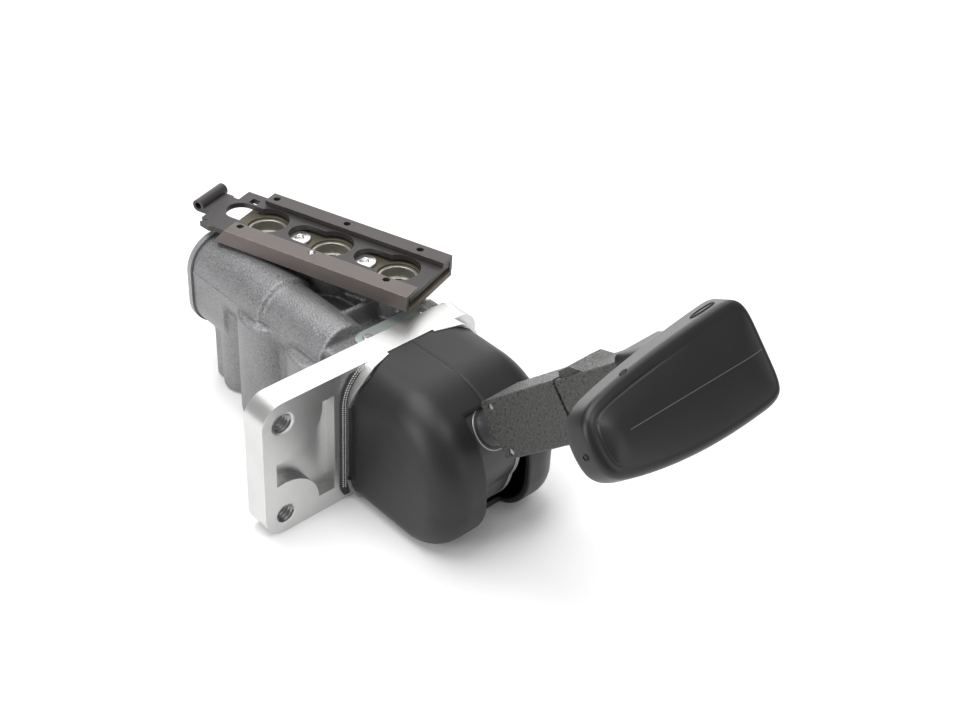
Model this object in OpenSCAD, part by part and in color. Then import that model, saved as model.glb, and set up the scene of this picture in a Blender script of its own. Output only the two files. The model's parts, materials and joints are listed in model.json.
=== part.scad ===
// Hand brake valve for a commercial vehicle, in millimetres.
// Z is up, the lever points to -Y, the casting lies behind the flange in +Y.
// The origin is midway between the two threaded holes, on the flange's front face.

/* [Mounting flange] */
// Length of the flange from the left edge to the right edge
flange_w = 89.6; // [86:0.2:94]
// Height of the flange
flange_h = 53.4; // [51:0.2:56]
// Thickness of the flange
flange_t = 9.5; // [8:0.1:11]
// Corner radius of the flange
flange_r = 8; // [5:0.5:10]
// Distance from the left edge to the column of threaded holes
hole_inset = 8.1; // [7.5:0.1:10]
// Distance between the two threaded holes
hole_pitch = 38; // [35:0.5:39]
// Core diameter of the threaded holes
hole_d = 6.8; // [5:0.1:8.5]
// Diameter of the countersink of the threaded holes
hole_sink_d = 9.1; // [8.8:0.1:11]
// Depth of the countersink of the threaded holes
hole_sink_h = 0.4; // [0.2:0.05:0.5]
// Depth of the cast pocket between the holes
pocket_depth = 4.2; // [2:0.1:6]
// Left wall of the pocket, from the hole column
pocket_left = -3.2; // [-4:0.1:-1]
// Right wall of the pocket, from the hole column
pocket_right = 20.1; // [17:0.1:20.5]
// Radius of the land that stays round the upper hole
upper_land_r = 15.5; // [13:0.1:17]
// Radius of the land that stays round the lower hole
lower_land_r = 13.5; // [12:0.1:16]

/* [Hood] */
// Distance from the hole column to the middle of the hood
hood_x = 52.5; // [51.5:0.1:53]
// Width of the hood
hood_w = 53; // [50:0.2:54]
// Height of the hood's top above the holes' middle
hood_top = 27; // [26:0.1:27]
// Depth of the hood's bottom below the holes' middle
hood_bottom = 26; // [25:0.1:26]
// Radius of the front of the hood above the pivot
hood_front_r = 29.6; // [28:0.1:31]
// Radius of the front of the hood below the pivot
hood_chin_r = 18.4; // [17:0.1:20]
// How far the hood stands out from the flange
hood_depth = 48.2; // [47.5:0.1:50]
// Wall of the hood
hood_wall = 2.4; // [2:0.1:2.8]
// Corner radius of the hood's side edges at the top
hood_edge_top = 13; // [10:0.5:15]
// Corner radius of the hood's side edges at the front
hood_edge_front = 11; // [9:0.5:13]
// Corner radius of the hood's side edges at the bottom
hood_edge_bottom = 7; // [5:0.5:9]
// Width of the slot for the lever
slot_w = 18.6; // [17.6:0.1:19.4]
// Distance of the slot's left edge from the hood's middle
slot_left = 8.6; // [8.6:0.1:9.2]
// Height of the raised collar round the hood's corners
collar_h = 4.2; // [2:0.1:6]
// Thickness of the raised collar
collar_t = 1.3; // [0.8:0.1:2]
// Width of the knurled seal strip beside the hood
seal_w = 2.2; // [1.5:0.1:2.6]
// Thickness of the seal strip
seal_t = 0.8; // [0.5:0.1:1.5]

/* [Lever] */
// Pivot in front of the flange
pivot_out = 26; // [25.5:0.1:26.5]
// Pivot above the holes' middle
pivot_z = 3.4; // [3:0.1:4]
// Angle of the released lever above the horizontal
lever_angle = 42.3; // [41:0.1:44]
// Radius of the cam drum that closes the slot
drum_r = 19; // [18.5:0.1:19.4]
// Width of the cam drum
drum_w = 16.4; // [15:0.1:16.6]
// Diameter of the pivot pin
pin_d = 8; // [6:0.2:9]
// Diameter of the steel stem
stem_d = 12.8; // [11:0.1:14]
// Distance from the pivot to the foot of the arm
arm_start = 30.3; // [30:0.1:33]
// Distance from the pivot to the joint between arm and release collar
arm_end = 68; // [60:0.5:72]
// Width of the arm
arm_w = 17; // [16:0.1:18]
// Height of the arm
arm_h = 19.9; // [18:0.1:21]
// Gap between the arm and the release collar
arm_gap = 0.8; // [0.5:0.1:1.2]
// Travel of the release collar
collar_travel = 4; // [3:0.5:5]
// Distance from the pivot to the back of the handle's head
handle_back = 112.5; // [110:0.5:118]
// Thickness of the handle's head
handle_t = 12; // [10:0.5:14]
// Left end of the handle, left of the hood's middle
handle_left = 49; // [44:0.5:54]
// Right end of the handle, right of the hood's middle
handle_right = 20; // [16:0.5:24]
// Half height of the handle at its left end
handle_half_left = 8; // [6:0.2:9]
// Half height of the handle at its right end
handle_half_right = 14.9; // [13:0.2:16]
// Distance of the handle's middle plane below the arm's axis
handle_drop = 3.8; // [2:0.1:5]

/* [Casting] */
// Length of the casting behind the boss of the rear port
body_tail = 1.8; // [1:0.1:5]
// Radius of the large barrel
barrel_r = 12.3; // [11:0.1:12.6]
// Middle of the large barrel, left of the hood's middle
barrel_left = 13; // [12:0.1:14]
// Height of the barrel's middle
barrel_z = 16.9; // [16:0.1:17.5]
// Diameter of the piston bore
bore_d = 24; // [22:0.2:25]
// Thickness of the casting behind the piston bore
bore_end_wall = 14; // [10:0.5:15]
// Travel of the plunger
plunger_travel = 6; // [4:0.5:6.5]
// Diameter of the plunger
plunger_d = 10; // [8:0.2:11]
// Height of the face that carries the port plate
deck_z = 29.4; // [29.2:0.1:31]

/* [Port plate and slide] */
// Turn of the port row against the casting, in degrees
row_turn = 18; // [17.5:0.1:18.4]
// Middle of the port row, right of the hood's middle
row_right = 8.5; // [8:0.1:9]
// Middle of the port row behind the flange's front face
row_back = 53.8; // [53.4:0.1:54.5]
// Distance between neighbouring ports
port_pitch = 27.1; // [26.5:0.1:27.5]
// Outer diameter of a port socket
socket_d = 14.6; // [13:0.1:15]
// Bore of a port socket
socket_bore = 10.4; // [9:0.1:11]
// Thickness of the port plate
plate_t = 2; // [1.5:0.1:2.4]
// Length of the port plate
plate_len = 79.6; // [78:0.2:81]
// Thickness of the sheet that the slide and the rails are pressed from
sheet_t = 1.6; // [1.2:0.1:1.8]
// Height of the rails above the port plate
rail_h = 5; // [4.8:0.1:5.6]
// Length of the rails
rail_len = 74; // [70:0.5:76]
// Distance between the two rails' outer faces
rail_span = 30.4; // [30:0.1:31]
// Travel of the slide from open to locked
slide_travel = 11.6; // [10:0.1:12]
// Outer diameter of the rolled pull eye
eye_d = 4.6; // [4:0.1:5]

/* [Hidden] */
$fn = 64;

// Small clearances and details, and a length beyond the part for cuts that run right through
tiny = 0.01;
beyond = 200;
slide_gap = 0.1;
run_gap = 0.05;
seam_gap = 0.06;
drum_gap = 0.25;
cam_gap = 0.2;

flange_left = -hole_inset;
flange_right = flange_w - hole_inset;
flange_over = 0.3;
flange_top = hood_top + flange_over;
flange_bottom = flange_top - flange_h;
pivot_y = -pivot_out;
hood_left_x = hood_x - hood_w / 2;
hood_right_x = hood_x + hood_w / 2;

// Places of the ports along their row and in the part, and the casting's reach behind them
row_x = hood_x + row_right;
row_shift = 0.9;
port_u = [for (i = [-1:1]) row_shift + i * port_pitch];
port_x = [for (u = port_u) row_x + u * sin(row_turn)];
port_y = [for (u = port_u) row_back - u * cos(row_turn)];
boss_r = 9;
body_back = port_y[0] + boss_r + body_tail;
body_len = body_back - flange_t;
bore_len = body_len - bore_end_wall;

// Local frame of the lever: X as in the part, Y upwards across the arm, Z along the arm
module lever_frame() {
    translate([0, pivot_y, pivot_z]) rotate([90 - lever_angle, 0, 0]) children();
}

// A flat outline in Y and Z, given a thickness along X from x0 to x1
module across(x0, x1) {
    translate([x0, 0, 0]) rotate([90, 0, 90]) linear_extrude(x1 - x0) children();
}

// A flat outline in X and Z, given a thickness along Y from y0 to y1
module along(y0, y1) {
    translate([0, y1, 0]) rotate([90, 0, 0]) linear_extrude(y1 - y0) children();
}

// A cylinder along Y from y0 to y1
module rod_y(x, z, d, y0, y1) {
    translate([x, y1, z]) rotate([90, 0, 0]) cylinder(d = d, h = y1 - y0);
}

// A cylinder along X from x0 to x1
module rod_x(y, z, d, x0, x1) {
    translate([x0, y, z]) rotate([0, 90, 0]) cylinder(d = d, h = x1 - x0);
}

// Rectangle with round corners, as squares and discs so that its corners stay true arcs
module round_box_2d(x0, x1, y0, y1, r) {
    translate([x0 + r, y0]) square([x1 - x0 - 2 * r, y1 - y0]);
    translate([x0, y0 + r]) square([x1 - x0, y1 - y0 - 2 * r]);
    for (x = [x0 + r, x1 - r], y = [y0 + r, y1 - r]) translate([x, y]) circle(r);
}

/* The flange and the hood */

// Outline of the hood where it meets the flange, grown by g
module hood_section(g) {
    rt = hood_edge_top + g;
    rb = hood_edge_bottom + g;
    x0 = hood_left_x - g;
    x1 = hood_right_x + g;
    z0 = -hood_bottom - g;
    z1 = hood_top + g;
    translate([x0 + rt, z0 + rb]) square([x1 - x0 - 2 * rt, z1 - z0 - rb]);
    translate([x0, z0 + rb]) square([x1 - x0, z1 - z0 - rb - rt]);
    translate([x0 + rb, z0]) square([x1 - x0 - 2 * rb, rb + 1]);
    for (x = [x0 + rt, x1 - rt]) translate([x, z1 - rt]) circle(rt);
    for (x = [x0 + rb, x1 - rb]) translate([x, z0 + rb]) circle(rb);
}

module pocket_2d() {
    difference() {
        translate([pocket_left, -hole_pitch / 2]) square([pocket_right - pocket_left, hole_pitch + 1]);
        translate([0, hole_pitch / 2]) circle(upper_land_r);
        translate([0, -hole_pitch / 2]) circle(lower_land_r);
    }
}

bracket_w = 40;
bracket_t = 3;
cheek_r = 9;
bracket_screw_x = bracket_w - 13;
bracket_screw_z = 5.5;
bracket_screw_d = 4;
flange_screw_x = 18;
flange_screw_z = 17.5;
flange_screw_mid = pivot_z - 4;
flange_screw_d = 5;
flange_screw_head = [8.5, 3];

module mounting_flange() {
    color("silver") difference() {
        union() {
            along(0, flange_t) round_box_2d(flange_left, flange_right, flange_bottom, flange_top, flange_r);
            // raised collar at the hood's corners
            along(-collar_h, tiny) intersection() {
                difference() {
                    hood_section(collar_t);
                    hood_section(slide_gap);
                }
                round_box_2d(flange_left, flange_right, flange_bottom, flange_top, flange_r);
                union() {
                    translate([flange_left, 13]) square([50, 30]);
                    translate([hood_x + 9, 13]) square([50, 30]);
                    translate([flange_left, flange_bottom]) square([60, 8]);
                }
            }
        }
        along(-1, pocket_depth) pocket_2d();
        for (z = [-1, 1]) {
            rod_y(0, z * hole_pitch / 2, hole_d, -1, flange_t + 1);
            translate([0, hole_sink_h, z * hole_pitch / 2]) rotate([90, 0, 0])
                cylinder(d1 = hole_d, d2 = 2 * hole_sink_d - hole_d, h = 2 * hole_sink_h);
        }
        rod_y(hood_x, pivot_z, plunger_d + 2 * run_gap, -1, flange_t + 1);
        for (x = [-1, 1], z = [-1, 1]) {
            rod_y(hood_x + x * bracket_screw_x / 2, pivot_z + z * bracket_screw_z, bracket_screw_d, -1, 6);
            rod_y(hood_x + x * flange_screw_x, flange_screw_mid + z * flange_screw_z, flange_screw_d, -1, flange_t + 1);
        }
    }
}

module flange_screws() {
    color("dimgray") for (x = [-1, 1], z = [-1, 1]) {
        translate([hood_x + x * flange_screw_x, 0, flange_screw_mid + z * flange_screw_z]) {
            rotate([-90, 0, 0]) cylinder(d = flange_screw_d, h = flange_t + 8);
            difference() {
                rotate([90, 0, 0]) cylinder(d = flange_screw_head[0], h = flange_screw_head[1]);
                translate([0, -1.4, 0]) rotate([90, 0, 0]) cylinder(d = 4.6, h = 3, $fn = 6);
            }
        }
    }
}

module hood_seal() {
    color([0.16, 0.16, 0.17]) along(-seal_t, 0) intersection() {
        difference() {
            hood_section(collar_t + 0.1 + seal_w);
            hood_section(collar_t + 0.1);
        }
        translate([flange_left, flange_bottom + 2]) square([hood_x - flange_left, flange_h - 4]);
    }
}

// Side outline of the hood as points with their outward angle, and how far each is drawn in
upper_c = [hood_front_r - hood_depth, hood_top - hood_front_r];
chin_c = [hood_chin_r - hood_depth, hood_chin_r - hood_bottom];
function edge_r(a) = a < 180
    ? hood_edge_top + (hood_edge_front - hood_edge_top) * (a - 90) / 90
    : hood_edge_front + (hood_edge_bottom - hood_edge_front) * (a - 180) / 90;
function drawn_in(a, t) = t >= edge_r(a) ? 0 : edge_r(a) - sqrt(pow(edge_r(a), 2) - pow(edge_r(a) - t, 2));
function arc_point(c, r, a) = [c[0] + r * cos(a), c[1] + r * sin(a)];
function hood_over(wall) = wall > 0 ? 4 : 3;
function hood_outline(t, wall) = concat(
    [[hood_over(wall), hood_top - wall - drawn_in(90, t)]],
    [for (a = [90:6:180]) arc_point(upper_c, hood_front_r - wall - drawn_in(a, t), a)],
    [for (a = [180:9:270]) arc_point(chin_c, hood_chin_r - wall - drawn_in(a, t), a)],
    [[hood_over(wall), wall - hood_bottom + drawn_in(270, t)]]);

// The hood's outer form, or its inner form when wall is the wall: a loft through outlines along X
loft_t = [0, 0.7, 2.4, 5.2, 9];
module hood_form(wall) {
    half = hood_w / 2 - wall;
    steps = concat(loft_t, [hood_edge_top]);
    m = len(steps);
    rings = concat(
        [for (t = steps) [hood_x - half + t, t]],
        [for (i = [m - 1:-1:0]) [hood_x + half - steps[i], steps[i]]]);
    n = len(hood_outline(0, wall));
    points = [for (ring = rings) for (p = hood_outline(ring[1], wall)) [ring[0], p[0], p[1]]];
    sides = [for (i = [0:2 * m - 2], k = [0:n - 1], half_face = [0, 1])
        let (k2 = (k + 1) % n, a = i * n + k, b = a + n, c = (i + 1) * n + k2, d = i * n + k2)
        half_face == 0 ? [a, b, c] : [a, c, d]];
    caps = [[for (k = [0:n - 1]) k], [for (k = [n - 1:-1:0]) (2 * m - 1) * n + k]];
    polyhedron(points = points, faces = concat(sides, caps), convexity = 4);
}

// Slot for the lever, from just above the released lever to under the chin
stem_free = 0.4;
slot_from = 180 - lever_angle - asin((stem_d / 2 + stem_free) / (drum_r + drum_gap));
slot_to = 251;
function slot_point(a) = [pivot_y + beyond * cos(a), pivot_z + beyond * sin(a)];
module lever_slot() {
    x0 = hood_x - slot_left;
    across(x0, x0 + slot_w) polygon(concat([[pivot_y, pivot_z]], [for (i = [0:12])
        slot_point(slot_from + (slot_to - slot_from) * i / 12)]));
}

// One half of the hood, left for side -1 and right for side 1
module hood_half(side) {
    difference() {
        hood_form(0);
        hood_form(hood_wall);
        translate([-beyond, 0, -beyond]) cube([2 * beyond, beyond, 2 * beyond]);
        lever_slot();
        rod_x(pivot_y, pivot_z, 2 * (drum_r + drum_gap), hood_x - slot_left - 0.4, hood_x + slot_left + 0.4);
        translate([side < 0 ? hood_x - seam_gap / 2 : hood_x - beyond + seam_gap / 2, -beyond, -beyond])
            cube([beyond, 2 * beyond, 2 * beyond]);
    }
}

module hood_left() { color([0.12, 0.12, 0.13]) hood_half(-1); }
module hood_right() { color([0.12, 0.12, 0.13]) hood_half(1); }

/* The pivot and the lever */

module pivot_bracket() {
    color("slategray") difference() {
        union() {
            for (side = [-1, 1]) {
                x0 = hood_x + side * (bracket_w - bracket_t) / 2 - bracket_t / 2;
                across(x0, x0 + bracket_t) {
                    translate([-pivot_out, pivot_z - cheek_r]) square([pivot_out, 2 * cheek_r]);
                    translate([pivot_y, pivot_z]) circle(cheek_r);
                }
            }
            along(-bracket_t, 0) translate([hood_x - bracket_w / 2, pivot_z - cheek_r])
                square([bracket_w, 2 * cheek_r]);
        }
        rod_x(pivot_y, pivot_z, pin_d, hood_x - 30, hood_x + 30);
        rod_y(hood_x, pivot_z, plunger_d + 2, -10, 1);
        for (x = [-1, 1], z = [-1, 1])
            rod_y(hood_x + x * bracket_screw_x / 2, pivot_z + z * bracket_screw_z, bracket_screw_d, -10, 1);
    }
}

module bracket_screws() {
    color("silver") for (x = [-1, 1], z = [-1, 1])
        translate([hood_x + x * bracket_screw_x / 2, 0, pivot_z + z * bracket_screw_z]) {
            translate([0, -bracket_t, 0]) rotate([-90, 0, 0]) cylinder(d = bracket_screw_d, h = bracket_t + 5.5);
            translate([0, -bracket_t - 2, 0]) rotate([-90, 0, 0]) cylinder(d = 6.6, h = 2);
        }
}

module pivot_pin() {
    color("gainsboro") union() {
        rod_x(pivot_y, pivot_z, pin_d, hood_x - bracket_w / 2 - 2, hood_x + bracket_w / 2);
        rod_x(pivot_y, pivot_z, pin_d + 3, hood_x + bracket_w / 2, hood_x + bracket_w / 2 + 1.5);
    }
}

// The cam falls by the plunger's travel over the lever's swing
lever_swing = 77;
cam_start = 180 - lever_angle;
cam_high = 18;
cam_low_end = 228;
shutter_half = 97;
function cam_radius(a) = min(drum_r, cam_high - plunger_travel * (a - cam_start) / lever_swing);
module drum_outline() {
    polygon(concat(
        [for (a = [-shutter_half:5:shutter_half]) [drum_r * sin(a), drum_r * cos(a)]],
        [for (a = [shutter_half + 4:4:cam_low_end]) [cam_radius(a) * sin(a), cam_radius(a) * cos(a)]],
        [for (a = [cam_low_end:6:360 - shutter_half])
            [cam_radius(cam_low_end) * sin(a), cam_radius(cam_low_end) * cos(a)]]));
}

module cam_drum() {
    color([0.22, 0.22, 0.23]) difference() {
        union() {
            lever_frame() across(hood_x - drum_w / 2, hood_x + drum_w / 2) drum_outline();
            rod_x(pivot_y, pivot_z, 15, hood_x - bracket_w / 2 + bracket_t + 0.3,
                hood_x + bracket_w / 2 - bracket_t - 0.3);
        }
        rod_x(pivot_y, pivot_z, pin_d + 2 * run_gap, hood_x - 40, hood_x + 40);
        lever_frame() translate([hood_x, 0, stem_foot]) cylinder(d = stem_d, h = 40);
    }
}

stem_foot = 9;
stem_top = handle_back + 4;
module lever_stem() {
    color("gray") lever_frame() translate([hood_x, 0, stem_foot]) cylinder(d = stem_d, h = stem_top - stem_foot);
}

arm_edge = 1.2;
arm_pin_d = 2.4;
arm_pin_s = 4;
arm_pin_t = 7.6;
module arm_block(s0, s1, w, h) {
    translate([hood_x, 0, s0]) linear_extrude(s1 - s0) round_box_2d(-w / 2, w / 2, -h / 2, h / 2, arm_edge);
}

module lever_arm() {
    color([0.17, 0.17, 0.18]) lever_frame() difference() {
        union() {
            arm_block(arm_start, arm_end, arm_w, arm_h);
            translate([hood_x, 0, arm_start - 2.5]) cylinder(d = stem_d + 3, h = 3);
        }
        translate([hood_x, 0, arm_start - 10]) cylinder(d = stem_d, h = arm_end);
        for (p = [[arm_pin_s, arm_pin_t], [arm_pin_s, -arm_pin_t]])
            rod_x(p[1], arm_start + p[0], arm_pin_d, hood_x - 20, hood_x + 20);
    }
}

module arm_pins() {
    color("silver") lever_frame() for (t = [-1, 1])
        rod_x(t * arm_pin_t, arm_start + arm_pin_s, arm_pin_d, hood_x - arm_w / 2 + 0.4, hood_x + arm_w / 2 - 0.4);
}

collar_w = arm_w - 0.6;
collar_tall = arm_h - 0.6;
collar_start = arm_end + arm_gap;
collar_end = 104;
socket_start = 99;
socket_wall = 2;
module release_collar() {
    color([0.14, 0.14, 0.15]) lever_frame() difference() {
        union() {
            arm_block(collar_start, collar_end, collar_w, collar_tall);
            // thumb tab on the top face
            across(hood_x - collar_w / 2 + 1.5, hood_x + collar_w / 2 - 1.5)
                polygon([[collar_tall / 2 - 1, collar_start + 0.3], [collar_tall / 2 + 2, collar_start + 2],
                    [collar_tall / 2 + 2.4, collar_start + 7], [collar_tall / 2 - 1, collar_start + 14]]);
        }
        translate([hood_x, 0, collar_start - 1]) cylinder(d = stem_d + 2 * run_gap, h = 60);
        translate([hood_x, 0, collar_end - 8]) cylinder(d = stem_d + 3.6, h = 20);
    }
}

// Coil of round wire with flat working room, as a stack of rings joined by a wall
module coil(d, wire, len, turns) {
    steps = 14;
    n = turns * steps;
    r = d / 2;
    sides = 6;
    pts = [for (i = [0:n]) let (a = 360 * i / steps, z = wire / 2 + (len - wire) * i / n)
        for (k = [0:sides - 1]) let (b = 360 * k / sides)
            [(r + wire / 2 * cos(b)) * cos(a), (r + wire / 2 * cos(b)) * sin(a), z + wire / 2 * sin(b)]];
    faces = concat([[for (k = [0:sides - 1]) k]], [[for (k = [sides - 1:-1:0]) n * sides + k]],
        [for (i = [0:n - 1], k = [0:sides - 1]) let (k2 = (k + 1) % sides)
            [i * sides + k, (i + 1) * sides + k, (i + 1) * sides + k2, i * sides + k2]]);
    polyhedron(points = pts, faces = faces, convexity = 10);
}

collar_spring_len = handle_back - collar_end + 7.6;
module collar_spring() {
    color("lightgray") lever_frame() translate([hood_x, 0, collar_end - 7.8])
        coil(stem_d + 1.9, 1.1, collar_spring_len, 5);
}

// Half height of the handle at a distance x right of the hood's middle
handle_round = 6;
function bow(f) = handle_half_left + (handle_half_right - handle_half_left) * sin(90 * pow(f, 0.62));
function handle_side(inset) = [for (i = [0:14]) let (f = i / 14)
    [-handle_left + inset + (handle_left + handle_right - handle_round - inset) * f, bow(f) - inset]];
function handle_outline(inset) = concat(
    [for (a = [180:-15:90]) [-handle_left + inset + 3 + 3 * cos(a), handle_half_left - inset - 3 + 3 * sin(a)]],
    [for (p = handle_side(inset)) if (p[0] > -handle_left + inset + 3) p],
    [for (a = [90:-15:0]) [handle_right - handle_round + (handle_round - inset) * cos(a),
        handle_half_right - handle_round + (handle_round - inset) * sin(a)]]);
module handle_slice(s, inset) {
    points = handle_outline(inset);
    n = len(points);
    translate([hood_x, -handle_drop, s]) linear_extrude(tiny)
        polygon(concat(points, [for (i = [n - 1:-1:0]) [points[i][0], -points[i][1]]]));
}

module handle() {
    color([0.1, 0.1, 0.11]) lever_frame() difference() {
        union() {
            hull() {
                handle_slice(handle_back, 2.2);
                handle_slice(handle_back + 0.8, 0.6);
                handle_slice(handle_back + 2.2, 0);
                handle_slice(handle_back + handle_t - 3, 0.2);
                handle_slice(handle_back + handle_t - 1, 1);
                handle_slice(handle_back + handle_t, 2.6);
            }
            // socket that takes the release collar
            hull() {
                arm_block(socket_start, socket_start + 1, collar_w + 2 * socket_wall, collar_tall + 2 * socket_wall);
                arm_block(handle_back + 2, handle_back + 3, collar_w + 2 * socket_wall + 5,
                    collar_tall + 2 * socket_wall - 0.6);
            }
        }
        arm_block(socket_start - 1, collar_end + collar_travel + 0.4, collar_w + 0.4,
            collar_tall + 0.4);
        translate([hood_x, 0, handle_back - 20]) cylinder(d = stem_d, h = stem_top - handle_back + 20);
        translate([hood_x, 0, handle_back - 20]) cylinder(d = stem_d + 3.6, h = 20);
    }
}

/* Inside the casting */

plunger_tip = pivot_y + cam_high + cam_gap;
plunger_foot = 21;
piston_len = 14;
insert_len = 12;
insert_bore = 11;
insert_floor = 3;
insert_gap = 4.5;
insert_start = flange_t + bore_len - insert_len;
spring_len = insert_start - insert_gap - piston_len - plunger_foot;
module plunger() {
    color("goldenrod") union() {
        rod_y(hood_x, pivot_z, plunger_d, plunger_tip + 3, plunger_foot);
        translate([hood_x, plunger_tip + 3, pivot_z]) rotate([90, 0, 0])
            cylinder(d1 = plunger_d, d2 = 5, h = 2);
        translate([hood_x, plunger_tip + 2.5, pivot_z]) sphere(d = 5);
        rod_y(hood_x, pivot_z, bore_d - 2 * run_gap, plunger_foot - 3, plunger_foot);
    }
}

module graduating_spring() {
    color("lightsteelblue") translate([hood_x, plunger_foot + 0.1, pivot_z]) rotate([-90, 0, 0])
        coil(bore_d - 7, 2.4, spring_len - 0.2, 5);
}

piston_start = plunger_foot + spring_len;
ring_w = 2;
module piston() {
    color("tan") difference() {
        union() {
            rod_y(hood_x, pivot_z, bore_d - 2 * run_gap, piston_start, piston_start + piston_len);
            rod_y(hood_x, pivot_z, 9, piston_start - 6, piston_start);
        }
        for (y = [3, 9]) difference() {
            rod_y(hood_x, pivot_z, bore_d + 2, piston_start + y, piston_start + y + ring_w);
            rod_y(hood_x, pivot_z, bore_d - 4, piston_start, piston_start + piston_len);
        }
    }
}

module piston_rings() {
    color([0.1, 0.1, 0.1]) for (y = [3, 9])
        translate([hood_x, piston_start + y + ring_w / 2, pivot_z]) rotate([90, 0, 0])
            rotate_extrude() translate([bore_d / 2 - 1, 0]) circle(0.95, $fn = 24);
}

module valve_insert() {
    color("darkkhaki") difference() {
        rod_y(hood_x, pivot_z, bore_d, insert_start, insert_start + insert_len);
        rod_y(hood_x, pivot_z, insert_bore, insert_start - 1, insert_start + insert_len - insert_floor);
    }
}

module valve_spring() {
    color("lightsteelblue") translate([hood_x, piston_start + piston_len, pivot_z]) rotate([-90, 0, 0])
        coil(insert_bore - 3, 1.2, insert_gap + insert_len - insert_floor, 5);
}

/* The casting */

module on_row() {
    translate([row_x, row_back, 0]) rotate([0, 0, row_turn - 90]) children();
}

barrel_x = hood_x - barrel_left;
step_y = body_back - 38.5;
barrel_step = 1.5;
lobe_z = barrel_z - 12;
lobe_y = body_back - 18.5;
core_left = hood_x - 21.5;
core_right = hood_x + 25.5;
core_top = 18.4;
core_foot = -26;
column_r = 13;
small_column_r = 8;
side_column_r = 9;
column_top = 16;
shelf_z = 22.6;
shelf_len = 10;
boss_foot = 10;
passage_d = 5;
socket_depth = 12;
rib_t = 2;
rib_top = 26.4;
rib_at = [1, 2];
rib_y = [port_y[1] + 3, port_y[2] + 0.3];
columns = [[hood_x - 15.5, body_back - 35.5, column_r], [hood_x - 16, body_back - 16.5, small_column_r],
    [hood_x - 15.5, flange_t + 16.5, column_r], [hood_x + 18.5, flange_t + 20.5, side_column_r],
    [hood_x + 18.5, body_back - 31.5, side_column_r]];
module barrel_outline(r) {
    translate([barrel_x, barrel_z]) circle(r);
    translate([barrel_x, lobe_z]) circle(r);
    translate([barrel_x - r, lobe_z]) square([2 * r, barrel_z - lobe_z]);
}

module casting_form() {
    // core round the piston bore
    translate([core_left, flange_t, core_foot]) cube([core_right - core_left, body_len - 6, core_top - core_foot]);
    // barrel with its step and the lower lobe behind the rear cover
    rod_y(barrel_x, barrel_z, 2 * (barrel_r - barrel_step), flange_t + shelf_len - 1, step_y);
    rod_y(barrel_x, barrel_z, 2 * barrel_r, step_y - 0.5, lobe_y);
    along(lobe_y, body_back) barrel_outline(barrel_r);
    // columns down the left and right sides
    for (c = columns) translate([c[0], c[1], core_foot + 0.5]) cylinder(r = c[2], h = column_top - core_foot);
    // shelf behind the flange for the data plate
    translate([core_left, flange_t, 0]) cube([core_right - core_left, shelf_len, shelf_z]);
    // row of port bosses
    on_row() {
        for (u = port_u) translate([u, 0, boss_foot]) cylinder(r = boss_r, h = deck_z - boss_foot);
        translate([port_u[0], -4, boss_foot]) cube([2 * port_pitch, 8, deck_z - boss_foot]);
    }
    // ribs from the barrel to the port row
    for (i = [0, 1])
        translate([barrel_x, rib_y[i] - rib_t / 2, core_top - 2])
            cube([port_x[rib_at[i]] - boss_r + 1 - barrel_x, rib_t, rib_top - core_top + 2]);
}

module valve_body() {
    color([0.62, 0.62, 0.62]) difference() {
        casting_form();
        // piston bore and its air passages
        rod_y(hood_x, pivot_z, bore_d, flange_t - 1, flange_t + bore_len);
        rod_y(hood_x, pivot_z, passage_d + 3, flange_t + bore_len - 1, flange_t + bore_len + 8);
        rod_x(row_back - port_pitch + 0.5, 9.7, passage_d - 1, hood_x, hood_x + 17);
        for (x = [-1, 1], z = [-1, 1])
            rod_y(hood_x + x * flange_screw_x, flange_screw_mid + z * flange_screw_z, flange_screw_d, 0, flange_t + 9);
        on_row() {
            for (i = [0:2]) {
                translate([port_u[i], 0, deck_z - socket_depth]) cylinder(d = socket_d, h = 40);
                translate([port_u[i], 0, passage_foot[i]]) cylinder(d = passage_d, h = 20);
            }
            for (u = screw_u) translate([u, 0, deck_z - 7]) cylinder(d = plate_screw_d, h = 20);
        }
        for (p = cover_screw_at) rod_y(p[0], p[1], cover_screw_d, body_back - 6, body_back + 1);
    }
}
passage_foot = [2, 5, 6.5];

cover_r = barrel_r + 0.7;
cover_t = 2;
cover_screw_d = 3;
cover_screw_at = [[barrel_x - 7, barrel_z + 4], [barrel_x + 7, barrel_z + 4], [barrel_x - 7, lobe_z - 4],
    [barrel_x + 7, lobe_z - 4]];
module rear_cover() {
    color([0.5, 0.5, 0.5]) difference() {
        along(body_back, body_back + cover_t) barrel_outline(cover_r);
        for (p = cover_screw_at) rod_y(p[0], p[1], cover_screw_d, body_back - 1, body_back + cover_t + 1);
    }
}

module rear_cover_screws() {
    color("silver") for (p = cover_screw_at) {
        rod_y(p[0], p[1], cover_screw_d, body_back - 5, body_back + cover_t);
        rod_y(p[0], p[1], cover_screw_d + 2, body_back + cover_t, body_back + cover_t + 1.6);
    }
}

/* The port plate, rails and slide */

plate_screw_d = 4;
plate_screw_len = 6;
plate_screw_head = [8.4, 0.9];
plate_screw_key = 3.4;
screw_u = [for (i = [0, 1]) (port_u[i] + port_u[i + 1]) / 2];
plate_top = deck_z + plate_t;
rail_top = plate_top + rail_h;
near_v = -16.3;
far_v = near_v + rail_span;
plate_end = 42;
module port_plate() {
    color([0.36, 0.34, 0.29]) on_row() difference() {
        translate([plate_end - plate_len, near_v + sheet_t, deck_z])
            cube([plate_len, rail_span - 2 * sheet_t, plate_t]);
        for (u = port_u) translate([u, 0, deck_z - 1]) cylinder(d = socket_d, h = 10);
        for (u = screw_u) translate([u, 0, deck_z - 1]) cylinder(d = plate_screw_d, h = 10);
    }
}

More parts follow.
